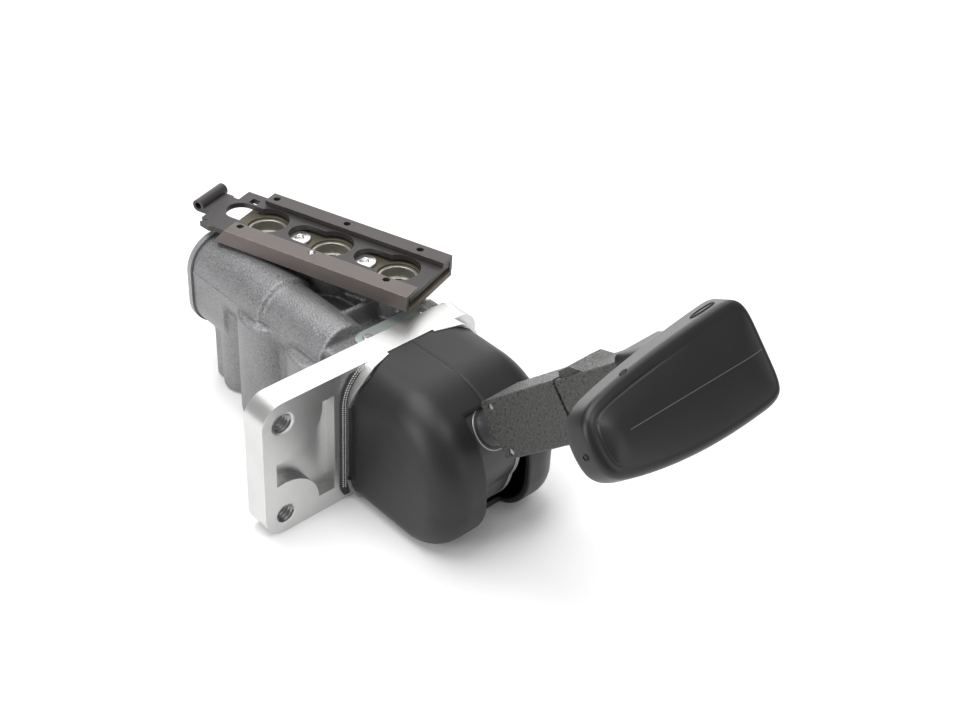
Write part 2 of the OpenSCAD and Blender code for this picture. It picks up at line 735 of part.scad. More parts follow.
module port_socket(i) {
    color("darkgray") on_row() translate([port_u[i], 0, deck_z - socket_depth]) difference() {
        cylinder(d = socket_d, h = socket_depth + 1.2);
        translate([0, 0, -1]) cylinder(d = socket_bore, h = socket_depth + 10);
        translate([0, 0, socket_depth - 3]) cylinder(d = socket_bore + 1.8, h = 10);
    }
}
module port_socket_1() { port_socket(0); }
module port_socket_2() { port_socket(1); }
module port_socket_3() { port_socket(2); }

module plate_screws() {
    color("whitesmoke") on_row() for (u = screw_u) translate([u, 0, 0]) {
        translate([0, 0, deck_z - plate_screw_len]) cylinder(d = plate_screw_d, h = plate_screw_len + plate_t);
        difference() {
            translate([0, 0, plate_top]) cylinder(d = plate_screw_head[0], h = plate_screw_head[1]);
            translate([0, 0, plate_top + 0.3]) cylinder(d = plate_screw_key, h = 2, $fn = 6);
        }
    }
}

rail_hole_u = [-29.8, 0.1, 30.1];
rail_end = 41.2;
rail_hole_d = 2.6;
rail_slant = 4.6;
near_flange = 7;
far_flange = 6;
near_hole = 5.3;
far_hole = 3;
web_foot = deck_z + 1.2;
// A rail: an upright web beside the port plate and a flange turned inwards over the slide
module rail(v0, v1, flange_v0, flange_v1, hole_v) {
    difference() {
        union() {
            on_row() translate([rail_end - rail_len, flange_v0, rail_top - sheet_t])
                cube([rail_len, flange_v1 - flange_v0, sheet_t]);
            on_row() translate([0, v1, 0]) rotate([90, 0, 0]) linear_extrude(v1 - v0)
                polygon([[rail_end - rail_len - rail_slant, web_foot], [rail_end, web_foot], [rail_end, rail_top],
                    [rail_end - rail_len, rail_top]]);
        }
        on_row() for (u = rail_hole_u) translate([u, hole_v, rail_top - sheet_t - 1])
            cylinder(d = rail_hole_d, h = sheet_t + 2);
    }
}
module rail_near() {
    color([0.33, 0.29, 0.28]) rail(near_v, near_v + sheet_t, near_v, near_v + near_flange,
        near_v + near_hole);
}
module rail_far() {
    color([0.27, 0.25, 0.25]) rail(far_v - sheet_t, far_v, far_v - far_flange, far_v, far_v - far_hole);
}

module detent_ball() {
    color("white") on_row() translate([rail_hole_u[1], near_v + near_hole, rail_top - sheet_t + 0.9])
        sphere(d = rail_hole_d - 0.1);
}

slide_bottom = plate_top + 1.1;
slide_t = 2;
slide_len = 84;
slide_left = -43;
slide_w = 26;
slide_window = 3.4;
key_r = 7.9;
slot_r = 5.4;
eye_u = -51.8;
module lock_slide() {
    color([0.25, 0.24, 0.24]) on_row() difference() {
        union() {
            translate([0, 0, slide_bottom]) linear_extrude(slide_t) union() {
                translate([slide_left, near_v + sheet_t + 1]) square([slide_len, slide_w]);
                translate([slide_left - 3.5, -11]) square([6, 17]);
                // small tab bent out beside the end
                translate([slide_left, -11]) polygon([[0, 0], [-2.5, -2.5], [2, -3.6], [5, -2]]);
                translate([eye_u, -6.2]) square([6, 13]);
            }
            translate([eye_u, -6.2, slide_bottom + eye_d / 2]) rotate([-90, 0, 0]) cylinder(d = eye_d, h = 14.4);
        }
        translate([eye_u, -8, slide_bottom + eye_d / 2]) rotate([-90, 0, 0]) cylinder(d = eye_d - 2, h = 20);
        for (u = port_u) {
            translate([u, 0, slide_bottom - 1]) cylinder(r = key_r, h = slide_t + 2);
            translate([u - slide_travel, 0, slide_bottom - 1]) cylinder(r = slot_r, h = slide_t + 2);
            translate([u - slide_travel, -slot_r, slide_bottom - 1])
                cube([slide_travel, 2 * slot_r, slide_t + 2]);
        }
        translate([slide_left + 4.2, 6.2, slide_bottom - 1]) cube([slide_window, 3, slide_t + 2]);
    }
}

/* The data plate */

label_r = 4.2;
label_t = 0.8;
label_gap = 0.1;
label_left = 7.2;
label_right = 17.2;
rivet_d = 2;
rivet_head = [3.4, 0.7];
label_y = flange_t + label_r + label_gap;
label_x = [hood_x - label_left, hood_x + label_right];
module data_plate() {
    color("lightgray") difference() {
        translate([0, 0, shelf_z]) linear_extrude(label_t) {
            for (x = label_x) translate([x, label_y]) circle(label_r);
            translate([label_x[0], label_y - label_r]) square([label_x[1] - label_x[0], 2 * label_r]);
        }
        for (x = label_x) translate([x, label_y, shelf_z - 1]) cylinder(d = rivet_d, h = 4);
    }
}
module data_plate_rivets() {
    color("white") for (x = label_x) translate([x, label_y, shelf_z]) {
        cylinder(d = rivet_d, h = label_t);
        translate([0, 0, label_t]) cylinder(d = rivet_head[0], h = rivet_head[1]);
    }
}

valve_body();
rear_cover();
rear_cover_screws();
mounting_flange();
flange_screws();
hood_seal();
hood_left();
hood_right();
pivot_bracket();
bracket_screws();
pivot_pin();
cam_drum();
lever_stem();
lever_arm();
arm_pins();
release_collar();
collar_spring();
handle();
plunger();
graduating_spring();
piston();
piston_rings();
valve_insert();
valve_spring();
port_plate();
port_socket_1();
port_socket_2();
port_socket_3();
plate_screws();
rail_near();
rail_far();
detent_ball();
lock_slide();
data_plate();
data_plate_rivets();
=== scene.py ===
"""Looks for the hand brake valve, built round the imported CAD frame.

Lengths inside the classes are in millimetres, in the same frame as the CAD: X to the right, -Y towards the
lever, Z up, with the origin midway between the two threaded holes. Meshes are turned into metres as they are
made.
"""

from __future__ import annotations

import json
import logging
import math
from dataclasses import dataclass
from enum import Enum

import bmesh
import bpy
import numpy as np
from mathutils import Matrix, Vector

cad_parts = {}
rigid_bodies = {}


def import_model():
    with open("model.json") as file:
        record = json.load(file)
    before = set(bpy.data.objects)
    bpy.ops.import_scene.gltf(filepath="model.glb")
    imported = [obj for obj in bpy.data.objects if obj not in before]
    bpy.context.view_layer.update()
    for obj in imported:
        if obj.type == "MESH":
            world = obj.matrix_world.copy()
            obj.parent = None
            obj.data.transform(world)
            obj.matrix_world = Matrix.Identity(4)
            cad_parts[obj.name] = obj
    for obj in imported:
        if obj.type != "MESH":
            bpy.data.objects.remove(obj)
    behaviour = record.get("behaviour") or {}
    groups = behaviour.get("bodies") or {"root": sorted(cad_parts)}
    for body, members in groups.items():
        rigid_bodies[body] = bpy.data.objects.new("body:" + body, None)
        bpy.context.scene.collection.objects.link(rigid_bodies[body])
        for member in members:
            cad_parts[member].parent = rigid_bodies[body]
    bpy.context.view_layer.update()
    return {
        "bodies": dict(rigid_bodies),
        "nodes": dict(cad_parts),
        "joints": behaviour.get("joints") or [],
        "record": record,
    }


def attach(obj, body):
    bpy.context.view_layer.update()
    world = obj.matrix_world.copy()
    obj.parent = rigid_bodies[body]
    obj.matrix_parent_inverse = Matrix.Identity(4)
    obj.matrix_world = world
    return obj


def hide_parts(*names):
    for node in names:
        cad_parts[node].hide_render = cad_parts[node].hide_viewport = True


LOG = logging.getLogger("hand_brake_valve")
MM = 0.001


class Body(Enum):
    """The CAD bodies that pieces ride on."""

    VALVE = "valve"
    LEVER = "lever"
    COLLAR = "collar"
    PLUNGER = "plunger"
    SLIDE = "slide"


class Texture(Enum):
    """The kinds of surface that a finish can have."""

    CAST = "cast"
    MOULDED = "moulded"
    SHEET = "sheet"
    TURNED = "turned"


# Shader node groups


class NodeGroups:
    """Shader node groups that the finishes share, each made once."""

    def __init__(self) -> None:
        """Starts with no group made."""
        self._made: dict[str, bpy.types.NodeTree] = {}

    def _start(self, name: str, sockets: list[tuple[str, str, str, object]]) -> bpy.types.NodeTree:
        """Makes an empty shader group.

        Args:
            name: the group's name.
            sockets: rows of name, in or out, socket type and default value.

        Returns:
            The new node tree, with its input and output nodes in place.
        """
        tree = bpy.data.node_groups.new(name, "ShaderNodeTree")
        for label, way, kind, default in sockets:
            socket = tree.interface.new_socket(
                name=label, in_out="INPUT" if way == "in" else "OUTPUT", socket_type=kind
            )
            if default is not None:
                socket.default_value = default
        tree.nodes.new("NodeGroupInput").name = "in"
        tree.nodes.new("NodeGroupOutput").name = "out"
        self._made[name] = tree
        return tree

    def edge_wear_and_shade(self) -> bpy.types.NodeTree:
        """Lightens edges, where the rounded normal leaves the true one, and paints shade into hollows, found
        by pointiness.

        Returns:
            A group from Color, Wear, the strength of the painted shade in hollows, Edge Color to Color.
        """
        if "Edge wear and painted shade" in self._made:
            return self._made["Edge wear and painted shade"]
        tree = self._start(
            "Edge wear and painted shade",
            [
                ("Color", "in", "NodeSocketColor", (0.5, 0.5, 0.5, 1)),
                ("Edge Color", "in", "NodeSocketColor", (0.8, 0.8, 0.8, 1)),
                ("Wear", "in", "NodeSocketFloat", 0.4),
                ("Painted Hollow Shade", "in", "NodeSocketFloat", 0.4),
                ("Color", "out", "NodeSocketColor", None),
            ],
        )
        nodes, link = tree.nodes, tree.links.new
        point = nodes.new("ShaderNodeNewGeometry").outputs["Pointiness"]
        rounded = nodes.new("ShaderNodeBevel")
        rounded.samples = 4
        rounded.inputs["Radius"].default_value = 0.35 * MM
        apart = nodes.new("ShaderNodeVectorMath")
        apart.operation = "DOT_PRODUCT"
        link(rounded.outputs["Normal"], apart.inputs[0])
        link(nodes.new("ShaderNodeNewGeometry").outputs["Normal"], apart.inputs[1])
        edge = self._ramp(tree, apart.outputs["Value"], 0.995, 0.93)
        # Painted shade: places of low pointiness, the hollows, are picked out to be darkened as if shaded.
        hollow = self._ramp(tree, point, 0.49, 0.42)
        coords = nodes.new("ShaderNodeTexCoord").outputs["Object"]
        patchy = self._ramp(tree, self._noise(tree, coords, 420.0, 4.0), 0.35, 0.62)
        chipped = self._math(tree, "MULTIPLY", edge, patchy)
        worn = self._math(tree, "MULTIPLY", chipped, nodes["in"].outputs["Wear"])
        # How strongly the shade is painted into the hollows.
        painted_shade = self._math(tree, "MULTIPLY", hollow, nodes["in"].outputs["Painted Hollow Shade"])
        lit = self._mix(tree, worn, nodes["in"].outputs["Color"], nodes["in"].outputs["Edge Color"])
        # Painted shade: the hollows are multiplied towards a dark grey-brown.
        dark = nodes.new("ShaderNodeMix")
        dark.data_type, dark.blend_type = "RGBA", "MULTIPLY"
        link(painted_shade, dark.inputs["Factor"])
        link(lit, dark.inputs["A"])
        dark.inputs["B"].default_value = (0.28, 0.27, 0.26, 1)
        link(dark.outputs["Result"], nodes["out"].inputs["Color"])
        return tree

    def speckle(self) -> bpy.types.NodeTree:
        """Varies a colour in soft clouds and fine grains.

        Returns:
            A group from Color, Clouds, Grains, Grain Scale to Color and Fac.
        """
        if "Speckle" in self._made:
            return self._made["Speckle"]
        tree = self._start(
            "Speckle",
            [
                ("Color", "in", "NodeSocketColor", (0.5, 0.5, 0.5, 1)),
                ("Clouds", "in", "NodeSocketFloat", 0.2),
                ("Grains", "in", "NodeSocketFloat", 0.2),
                ("Grain Scale", "in", "NodeSocketFloat", 2500.0),
                ("Color", "out", "NodeSocketColor", None),
                ("Fac", "out", "NodeSocketFloat", None),
            ],
        )
        nodes, link = tree.nodes, tree.links.new
        coords = nodes.new("ShaderNodeTexCoord").outputs["Object"]
        clouds = self._noise(tree, coords, 90.0, 5.0)
        grains = self._noise(tree, coords, nodes["in"].outputs["Grain Scale"], 3.0)
        parts = []
        for source, amount in ((clouds, "Clouds"), (grains, "Grains")):
            centred = self._math(tree, "SUBTRACT", source, 0.5)
            spread = self._math(tree, "MULTIPLY", centred, 4.0)
            parts.append(self._math(tree, "MULTIPLY", spread, nodes["in"].outputs[amount]))
        total = self._math(tree, "ADD", self._math(tree, "ADD", parts[0], parts[1]), 1.0)
        scaled = nodes.new("ShaderNodeVectorMath")
        scaled.operation = "SCALE"
        link(nodes["in"].outputs["Color"], scaled.inputs["Vector"])
        link(total, scaled.inputs["Scale"])
        link(scaled.outputs["Vector"], nodes["out"].inputs["Color"])
        link(total, nodes["out"].inputs["Fac"])
        return tree

    def grain_height(self) -> bpy.types.NodeTree:
        """Height of a grained skin: round pits over fine noise.

        Returns:
            A group from Scale and Pits to Height.
        """
        if "Grain height" in self._made:
            return self._made["Grain height"]
        tree = self._start(
            "Grain height",
            [
                ("Scale", "in", "NodeSocketFloat", 2000.0),
                ("Pits", "in", "NodeSocketFloat", 0.5),
                ("Height", "out", "NodeSocketFloat", None),
            ],
        )
        nodes, link = tree.nodes, tree.links.new
        coords = nodes.new("ShaderNodeTexCoord").outputs["Object"]
        noise = self._noise(tree, coords, nodes["in"].outputs["Scale"], 4.0)
        cells = nodes.new("ShaderNodeTexVoronoi")
        link(nodes["in"].outputs["Scale"], cells.inputs["Scale"])
        link(coords, cells.inputs["Vector"])
        pits = self._math(tree, "MULTIPLY", cells.outputs["Distance"], nodes["in"].outputs["Pits"])
        total = self._math(tree, "ADD", noise, pits)
        link(total, nodes["out"].inputs["Height"])
        return tree

    def brushed_height(self) -> bpy.types.NodeTree:
        """Height of fine lines along the port row, as rolling and pressing leave them on sheet steel.

        Returns:
            A group from Scale to Height.
        """
        if "Brushed height" in self._made:
            return self._made["Brushed height"]
        tree = self._start(
            "Brushed height",
            [("Scale", "in", "NodeSocketFloat", 900.0), ("Height", "out", "NodeSocketFloat", None)],
        )
        nodes, link = tree.nodes, tree.links.new
        coords = nodes.new("ShaderNodeTexCoord").outputs["Object"]
        turn = nodes.new("ShaderNodeMapping")
        turn.inputs["Rotation"].default_value = (0.0, 0.0, math.radians(-18.0))
        turn.inputs["Scale"].default_value = (1.0, 0.06, 1.0)
        link(coords, turn.inputs["Vector"])
        lines = self._noise(tree, turn.outputs["Vector"], nodes["in"].outputs["Scale"], 6.0)
        link(lines, nodes["out"].inputs["Height"])
        return tree

    @staticmethod
    def _math(tree: bpy.types.NodeTree, operation: str, a: object, b: object) -> bpy.types.NodeSocket:
        """Adds a math node whose inputs are sockets or numbers.

        Args:
            tree: the node tree.
            operation: the kind of sum.
            a: its first input.
            b: its second input.

        Returns:
            The node's output.
        """
        node = tree.nodes.new("ShaderNodeMath")
        node.operation = operation
        for socket, value in zip(node.inputs, (a, b)):
            if isinstance(value, (int, float)):
                socket.default_value = value
            else:
                tree.links.new(value, socket)
        return node.outputs[0]

    @staticmethod
    def _noise(
        tree: bpy.types.NodeTree, coords: bpy.types.NodeSocket, scale: object, detail: float
    ) -> bpy.types.NodeSocket:
        """Adds a noise over a vector socket.

        Args:
            tree: the node tree.
            coords: the vector.
            scale: the noise's scale, a socket or a number.
            detail: how many finer layers it has.

        Returns:
            The noise's value.
        """
        node = tree.nodes.new("ShaderNodeTexNoise")
        node.inputs["Detail"].default_value = detail
        if isinstance(scale, float):
            node.inputs["Scale"].default_value = scale
        else:
            tree.links.new(scale, node.inputs["Scale"])
        tree.links.new(coords, node.inputs["Vector"])
        return node.outputs["Fac"]

    @staticmethod
    def _ramp(
        tree: bpy.types.NodeTree, source: bpy.types.NodeSocket, low: float, high: float
    ) -> bpy.types.NodeSocket:
        """Maps the range low to high onto 0 to 1, clamped; high below low turns it round.

        Args:
            tree: the node tree.
            source: the value.
            low: the value that gives 0.
            high: the value that gives 1.

        Returns:
            The mapped value.
        """
        node = tree.nodes.new("ShaderNodeMapRange")
        node.inputs["From Min"].default_value = low
        node.inputs["From Max"].default_value = high
        tree.links.new(source, node.inputs["Value"])
        return node.outputs["Result"]

    @staticmethod
    def _mix(tree: bpy.types.NodeTree, factor: object, a: object, b: object) -> bpy.types.NodeSocket:
        """Mixes two colour sockets by a factor socket.

        Args:
            tree: the node tree.
            factor: the share of the second colour.
            a: the first colour.
            b: the second colour.

        Returns:
            The mixed colour.
        """
        node = tree.nodes.new("ShaderNodeMix")
        node.data_type = "RGBA"
        tree.links.new(factor, node.inputs["Factor"])
        tree.links.new(a, node.inputs["A"])
        tree.links.new(b, node.inputs["B"])
        return node.outputs["Result"]


GROUPS = NodeGroups()


@dataclass(frozen=True)
class Finish:
    """One surface finish.

    Attributes:
        name: the material's name.
        color: linear base colour.
        edge: linear colour of worn edges.
        texture: the kind of surface.
        metallic: how metallic it is.
        roughness: roughness of the gloss.
        grain: size of the grain in millimetres.
        bump: depth of the grain in millimetres.
        clouds: strength of the soft colour clouds.
        grains: strength of the fine colour grains.
        wear: strength of the worn edges.
        painted_hollow_shade: strength of the shade painted into hollows.
    """

    name: str
    color: tuple[float, float, float]
    edge: tuple[float, float, float] = (0.7, 0.7, 0.7)
    texture: Texture = Texture.MOULDED
    metallic: float = 0.0
    roughness: float = 0.5
    grain: float = 0.5
    bump: float = 0.05
    clouds: float = 0.05
    grains: float = 0.05
    wear: float = 0.0
    # Strength of the shade painted into hollows, darkening them.
    painted_hollow_shade: float = 0.0

    def material(self) -> bpy.types.Material:
        """Builds the material once: speckled colour, worn edges, shade painted into hollows, and a skin of
        grain or of brushed lines.

        Returns:
            The material, the same one for each piece with this finish.
        """
        found = bpy.data.materials.get(self.name)
        if found is not None and found.get("made_here"):
            return found
        material = bpy.data.materials.new(self.name)
        material["made_here"] = True
        material.use_nodes = True
        tree = material.node_tree
        nodes, link = tree.nodes, tree.links.new
        shader = next(n for n in nodes if n.type == "BSDF_PRINCIPLED")
        shader.inputs["Metallic"].default_value = self.metallic
        shader.inputs["Specular IOR Level"].default_value = 0.5 if self.metallic else 0.42
        speckle = self._group(tree, GROUPS.speckle())
        speckle.inputs["Color"].default_value = (*self.color, 1.0)
        speckle.inputs["Clouds"].default_value = self.clouds
        speckle.inputs["Grains"].default_value = self.grains
        speckle.inputs["Grain Scale"].default_value = 1000.0 / self.grain
        # The group lightens worn edges and paints shade into hollows.
        wear = self._group(tree, GROUPS.edge_wear_and_shade())
        wear.inputs["Edge Color"].default_value = (*self.edge, 1.0)
        wear.inputs["Wear"].default_value = self.wear
        # Painted shade: how strongly the hollows are darkened.
        wear.inputs["Painted Hollow Shade"].default_value = self.painted_hollow_shade
        link(speckle.outputs["Color"], wear.inputs["Color"])
        link(wear.outputs["Color"], shader.inputs["Base Color"])
        rough = nodes.new("ShaderNodeMath")
        rough.operation = "MULTIPLY"
        rough.use_clamp = True
        rough.inputs[1].default_value = self.roughness
        link(speckle.outputs["Fac"], rough.inputs[0])
        link(rough.outputs[0], shader.inputs["Roughness"])
        brushed = self.texture in (Texture.SHEET, Texture.TURNED)
        height = self._group(tree, GROUPS.brushed_height() if brushed else GROUPS.grain_height())
        height.inputs["Scale"].default_value = 1000.0 / self.grain
        if not brushed:
            height.inputs["Pits"].default_value = 0.9 if self.texture is Texture.CAST else 0.4
        bump = nodes.new("ShaderNodeBump")
        bump.inputs["Strength"].default_value = 1.0
        bump.inputs["Distance"].default_value = self.bump * MM
        link(height.outputs["Height"], bump.inputs["Height"])
        link(bump.outputs["Normal"], shader.inputs["Normal"])
        return material

    @staticmethod
    def _group(tree: bpy.types.NodeTree, group: bpy.types.NodeTree) -> bpy.types.Node:
        """Adds a group node to a material's tree.

        Args:
            tree: the material's tree.
            group: the shader group.

        Returns:
            The new node.
        """
        node = tree.nodes.new("ShaderNodeGroup")
        node.node_tree = group
        return node


# The last figure paints shade into the casting's hollows at full strength.
CASTING = Finish(
    "cast_grey", (0.225, 0.225, 0.23), (0.6, 0.6, 0.6), Texture.CAST, 0.5, 0.42, 0.60, 0.13, 0.12, 0.36,
    0.35, 1.0
)
COVER = Finish(
    "cover_grey", (0.30, 0.30, 0.31), (0.6, 0.6, 0.6), Texture.CAST, 0.6, 0.42, 0.5, 0.12, 0.08, 0.12,
    0.6
)
FLANGE = Finish(
    "blasted_bright", (0.60, 0.60, 0.595), (0.95, 0.95, 0.95), Texture.CAST, 0.92, 0.30, 0.30, 0.025,
    0.04, 0.05, 0.5
)
HOOD = Finish(
    "hood_black", (0.0105, 0.0105, 0.011), (0.035, 0.035, 0.035), Texture.MOULDED, 0.0, 0.43, 0.22,
    0.012, 0.03, 0.03, 0.3
)
HANDLE = Finish(
    "handle_black", (0.0085, 0.0085, 0.009), (0.03, 0.03, 0.03), Texture.MOULDED, 0.0, 0.37, 0.30,
    0.014, 0.05, 0.04, 0.3
)
SEAM = Finish(
    "seam_grey", (0.075, 0.075, 0.076), texture=Texture.MOULDED, roughness=0.45, grain=0.3, bump=0.01
)
GRAINED = Finish(
    "grained_black", (0.046, 0.046, 0.044), (0.10, 0.10, 0.10), Texture.CAST, 0.0, 0.46, 0.80, 0.30,
    0.05, 0.85, 0.4
)
DRUM = Finish(
    "drum_black", (0.040, 0.040, 0.041), (0.08, 0.08, 0.08), Texture.TURNED, 0.0, 0.33, 0.4, 0.01, 0.03,
    0.04, 0.4
)
# Pale grey that paints highlights: the pale strip beside the drum's gap and the edge of the ring round the
# stem.
PAINTED_HIGHLIGHT = Finish(
    "painted_highlight_grey", (0.40, 0.40, 0.40), (0.6, 0.6, 0.6), Texture.TURNED, 0.3, 0.35, 0.4, 0.01, 0.05, 0.05,
    0.4
)
# Near black that paints the shadow in the gap beside the drum's pale strip.
SHADOW = Finish("gap_painted_shadow", (0.003, 0.003, 0.003), texture=Texture.MOULDED, roughness=0.7)
STEEL = Finish(
    "shaft_steel", (0.30, 0.30, 0.31), (0.6, 0.6, 0.6), Texture.TURNED, 0.9, 0.32, 0.3, 0.01, 0.05,
    0.05, 0.4
)
SCREW = Finish(
    "zinc_bright", (0.66, 0.66, 0.65), (0.95, 0.95, 0.95), Texture.TURNED, 0.95, 0.24, 0.25, 0.03, 0.08,
    0.08, 0.5
)
# The two rails are one steel: the near rail's copy is painted lighter, as if lit, and the far rail's darker,
# as if in shade.
RAIL_LIT = Finish(
    "rail_brown_lit", (0.125, 0.106, 0.100), (0.36, 0.31, 0.28), Texture.SHEET, 0.6, 0.42, 0.35, 0.008,
    0.10, 0.06, 0.85
)
RAIL_SHADED = Finish(
    "rail_brown_shaded", (0.070, 0.063, 0.061), (0.24, 0.22, 0.21), Texture.SHEET, 0.55, 0.45, 0.35, 0.008,
    0.10, 0.06, 0.7
)
SLIDE = Finish(
    "slide_dark", (0.050, 0.046, 0.046), (0.17, 0.16, 0.15), Texture.CAST, 0.4, 0.45, 0.30, 0.02, 0.15,
    0.12, 0.6
)
PLATE = Finish(
    "plate_olive", (0.098, 0.086, 0.062), (0.22, 0.20, 0.16), Texture.CAST, 0.35, 0.5, 0.30, 0.03, 0.15,
    0.18, 0.5
)
SOCKET = Finish(
    "socket_light", (0.46, 0.45, 0.40), (0.85, 0.84, 0.78), Texture.CAST, 0.8, 0.33, 0.28, 0.06, 0.08,
    0.20, 0.7
)
LABEL = Finish(
    "plate_pale", (0.42, 0.47, 0.45), (0.8, 0.82, 0.8), Texture.SHEET, 0.5, 0.30, 0.5, 0.004, 0.06,
    0.04, 0.5
)
RUBBER = Finish(
    "seal_dark", (0.028, 0.028, 0.028), texture=Texture.MOULDED, roughness=0.6, grain=0.3, bump=0.03
)
DOTS = Finish("knurl_light", (0.62, 0.62, 0.61), texture=Texture.MOULDED, roughness=0.5, grain=0.3, bump=0.01)
BRASS = Finish(
    "turned_brass", (0.45, 0.32, 0.13), (0.8, 0.65, 0.4), Texture.TURNED, 0.95, 0.3, 0.3, 0.01, 0.05,
    0.05
)
ALLOY = Finish(
    "turned_alloy", (0.45, 0.45, 0.45), (0.8, 0.8, 0.8), Texture.TURNED, 0.9, 0.35, 0.3, 0.01, 0.05,
    0.05
)
WIRE = Finish(
    "spring_wire", (0.30, 0.30, 0.30), (0.7, 0.7, 0.7), Texture.TURNED, 0.95, 0.3, 0.3, 0.01, 0.05, 0.05
)


# Mesh helpers


def mesh_object(name: str, points: np.ndarray, faces: list[tuple[int, ...]]) -> bpy.types.Object:
    """Makes an object from points in millimetres.

    Args:
        name: the piece's name.
        points: an array of N points by 3.
        faces: corner indices of each face.

    Returns:
        The linked object, with its origin at the frame's origin.
    """
    mesh = bpy.data.meshes.new(name)
    mesh.from_pydata((np.asarray(points, float) * MM).tolist(), [], faces)
    mesh.validate()
    mesh.update()
    piece = bpy.data.objects.new(name, mesh)
    bpy.context.scene.collection.objects.link(piece)
    return piece


def grid_faces(rows: int, columns: int, closed: bool = False) -> list[tuple[int, ...]]:
    """Quads of a grid of points stored row by row: each joins a point, its neighbour and the two behind them.

    Args:
        rows: number of rows.
        columns: number of points in a row.
        closed: whether each row runs round and meets itself.

    Returns:
        The quads' corner indices.
    """
    i, j = np.meshgrid(np.arange(rows - 1), np.arange(columns if closed else columns - 1), indexing="ij")
    k = (j + 1) % columns
    a, b = i * columns, (i + 1) * columns
    quads = np.stack([a + j, a + k, b + k, b + j], axis=-1).reshape(-1, 4)
    return [tuple(quad) for quad in quads.tolist()]


def solid(
    name: str,
    points: np.ndarray,
    faces: list[tuple[int, ...]],
    merge: float = 0.01,
    smooth_angle: float = 35.0,
) -> bpy.types.Object:
    """Makes an object, merges doubled points, turns the faces outwards and smooths all but the sharp edges.

    Args:
        name: the piece's name.
        points: an array of N points by 3, in millimetres.
        faces: corner indices of each face.
        merge: distance within which points are merged, in millimetres.
        smooth_angle: the angle above which an edge stays sharp, in degrees.

    Returns:
        The linked object.
    """
    piece = mesh_object(name, points, faces)
    bm = bmesh.new()
    bm.from_mesh(piece.data)
    bmesh.ops.remove_doubles(bm, verts=bm.verts, dist=merge * MM)
    bmesh.ops.recalc_face_normals(bm, faces=bm.faces)
    bm.to_mesh(piece.data)
    bm.free()
    shade(piece, smooth_angle)
    return piece


def shade(piece: bpy.types.Object, smooth_angle: float) -> None:
    """Smooths the shading of all but the sharp edges.

    Args:
        piece: the object.
        smooth_angle: the angle above which an edge stays sharp, in degrees.
    """
    piece.data.polygons.foreach_set("use_smooth", [True] * len(piece.data.polygons))
    piece.data.set_sharp_from_angle(angle=math.radians(smooth_angle))


def apply_modifiers(piece: bpy.types.Object) -> None:
    """Replaces the piece's mesh with the one its modifiers make.

    Args:
        piece: the object.
    """
    graph = bpy.context.evaluated_depsgraph_get()
    mesh = bpy.data.meshes.new_from_object(piece.evaluated_get(graph), depsgraph=graph)
    piece.modifiers.clear()
    piece.data = mesh


def dress(
    piece: bpy.types.Object, finish: Finish, body: Body, replaces: tuple[str, ...] = ()
) -> None:
    """Gives a piece its material, its body and the CAD nodes it stands for.

    Args:
        piece: the object.
        finish: its finish.
        body: the CAD body it rides on.
        replaces: the CAD nodes it replaces.
    """
    piece.data.materials.clear()
    piece.data.materials.append(finish.material())
    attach(piece, body.value)
    if replaces:
        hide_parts(*replaces)


def tube(points: np.ndarray, radius: float, sides: int = 10, closed: bool = False) -> tuple[np.ndarray, list]:
    """Sweeps a circle along a path.

    Args:
        points: the path, N by 3, in millimetres.
        radius: the tube's radius.
        sides: number of points round the tube.
        closed: whether the path meets itself.

    Returns:
        The points and the faces.
    """
    path = np.asarray(points, float)
    if closed:
        along = np.roll(path, -1, axis=0) - np.roll(path, 1, axis=0)
    else:
        along = np.gradient(path, axis=0)
    along /= np.linalg.norm(along, axis=1)[:, None]
    rings = []
    side = np.cross(along[0], (0.31, 0.17, 0.93))
    for centre, direction in zip(path, along):
        side = side - direction * np.dot(side, direction)
        side /= np.linalg.norm(side)
        other = np.cross(direction, side)
        angles = np.linspace(0, 2 * math.pi, sides, endpoint=False)[:, None]
        rings.append(centre + radius * (np.cos(angles) * side + np.sin(angles) * other))
    count = len(path)
    faces = grid_faces(count, sides, closed=True)
    if closed:
        last, first = (count - 1) * sides, 0
        after = [(j + 1) % sides for j in range(sides)]
        faces += [(last + j, last + after[j], first + after[j], first + j) for j in range(sides)]
    else:
        faces += [tuple(range(sides)), tuple(range(count * sides - 1, (count - 1) * sides - 1, -1))]
    return np.vstack(rings), faces


def joined(parts: list[tuple[np.ndarray, list]]) -> tuple[np.ndarray, list]:
    """Joins several sets of points and faces into one.

    Args:
        parts: the points and faces of each part.

    Returns:
        All the points, and the faces with their corners counted on.
    """
    points, faces, base = [], [], 0
    for part_points, part_faces in parts:
        points.append(part_points)
        faces += [tuple(i + base for i in face) for face in part_faces]
        base += len(part_points)
    return np.vstack(points), faces


@dataclass
class LeverFrame:
    """The lever's own frame: x across, t upwards across the arm and s along the arm, from the pivot.

    Attributes:
        pivot_y, pivot_z: the pivot's place.
        angle: how far the arm rises above the level, in degrees.
    """

    pivot_y: float = -26.0
    pivot_z: float = 3.4
    angle: float = 42.3

    def place(self, points: np.ndarray) -> np.ndarray:
        """Turns points of x, t and s into the part's frame.

        Args:
            points: N by 3, in millimetres.

        Returns:
            The same points in X, Y and Z.
        """
        c, s = math.cos(math.radians(self.angle)), math.sin(math.radians(self.angle))
        p = np.asarray(points, float)
        return np.column_stack(
            [p[:, 0], self.pivot_y + s * p[:, 1] - c * p[:, 2], self.pivot_z + c * p[:, 1] + s * p[:, 2]]
        )


LEVER = LeverFrame()


# The sub-assemblies


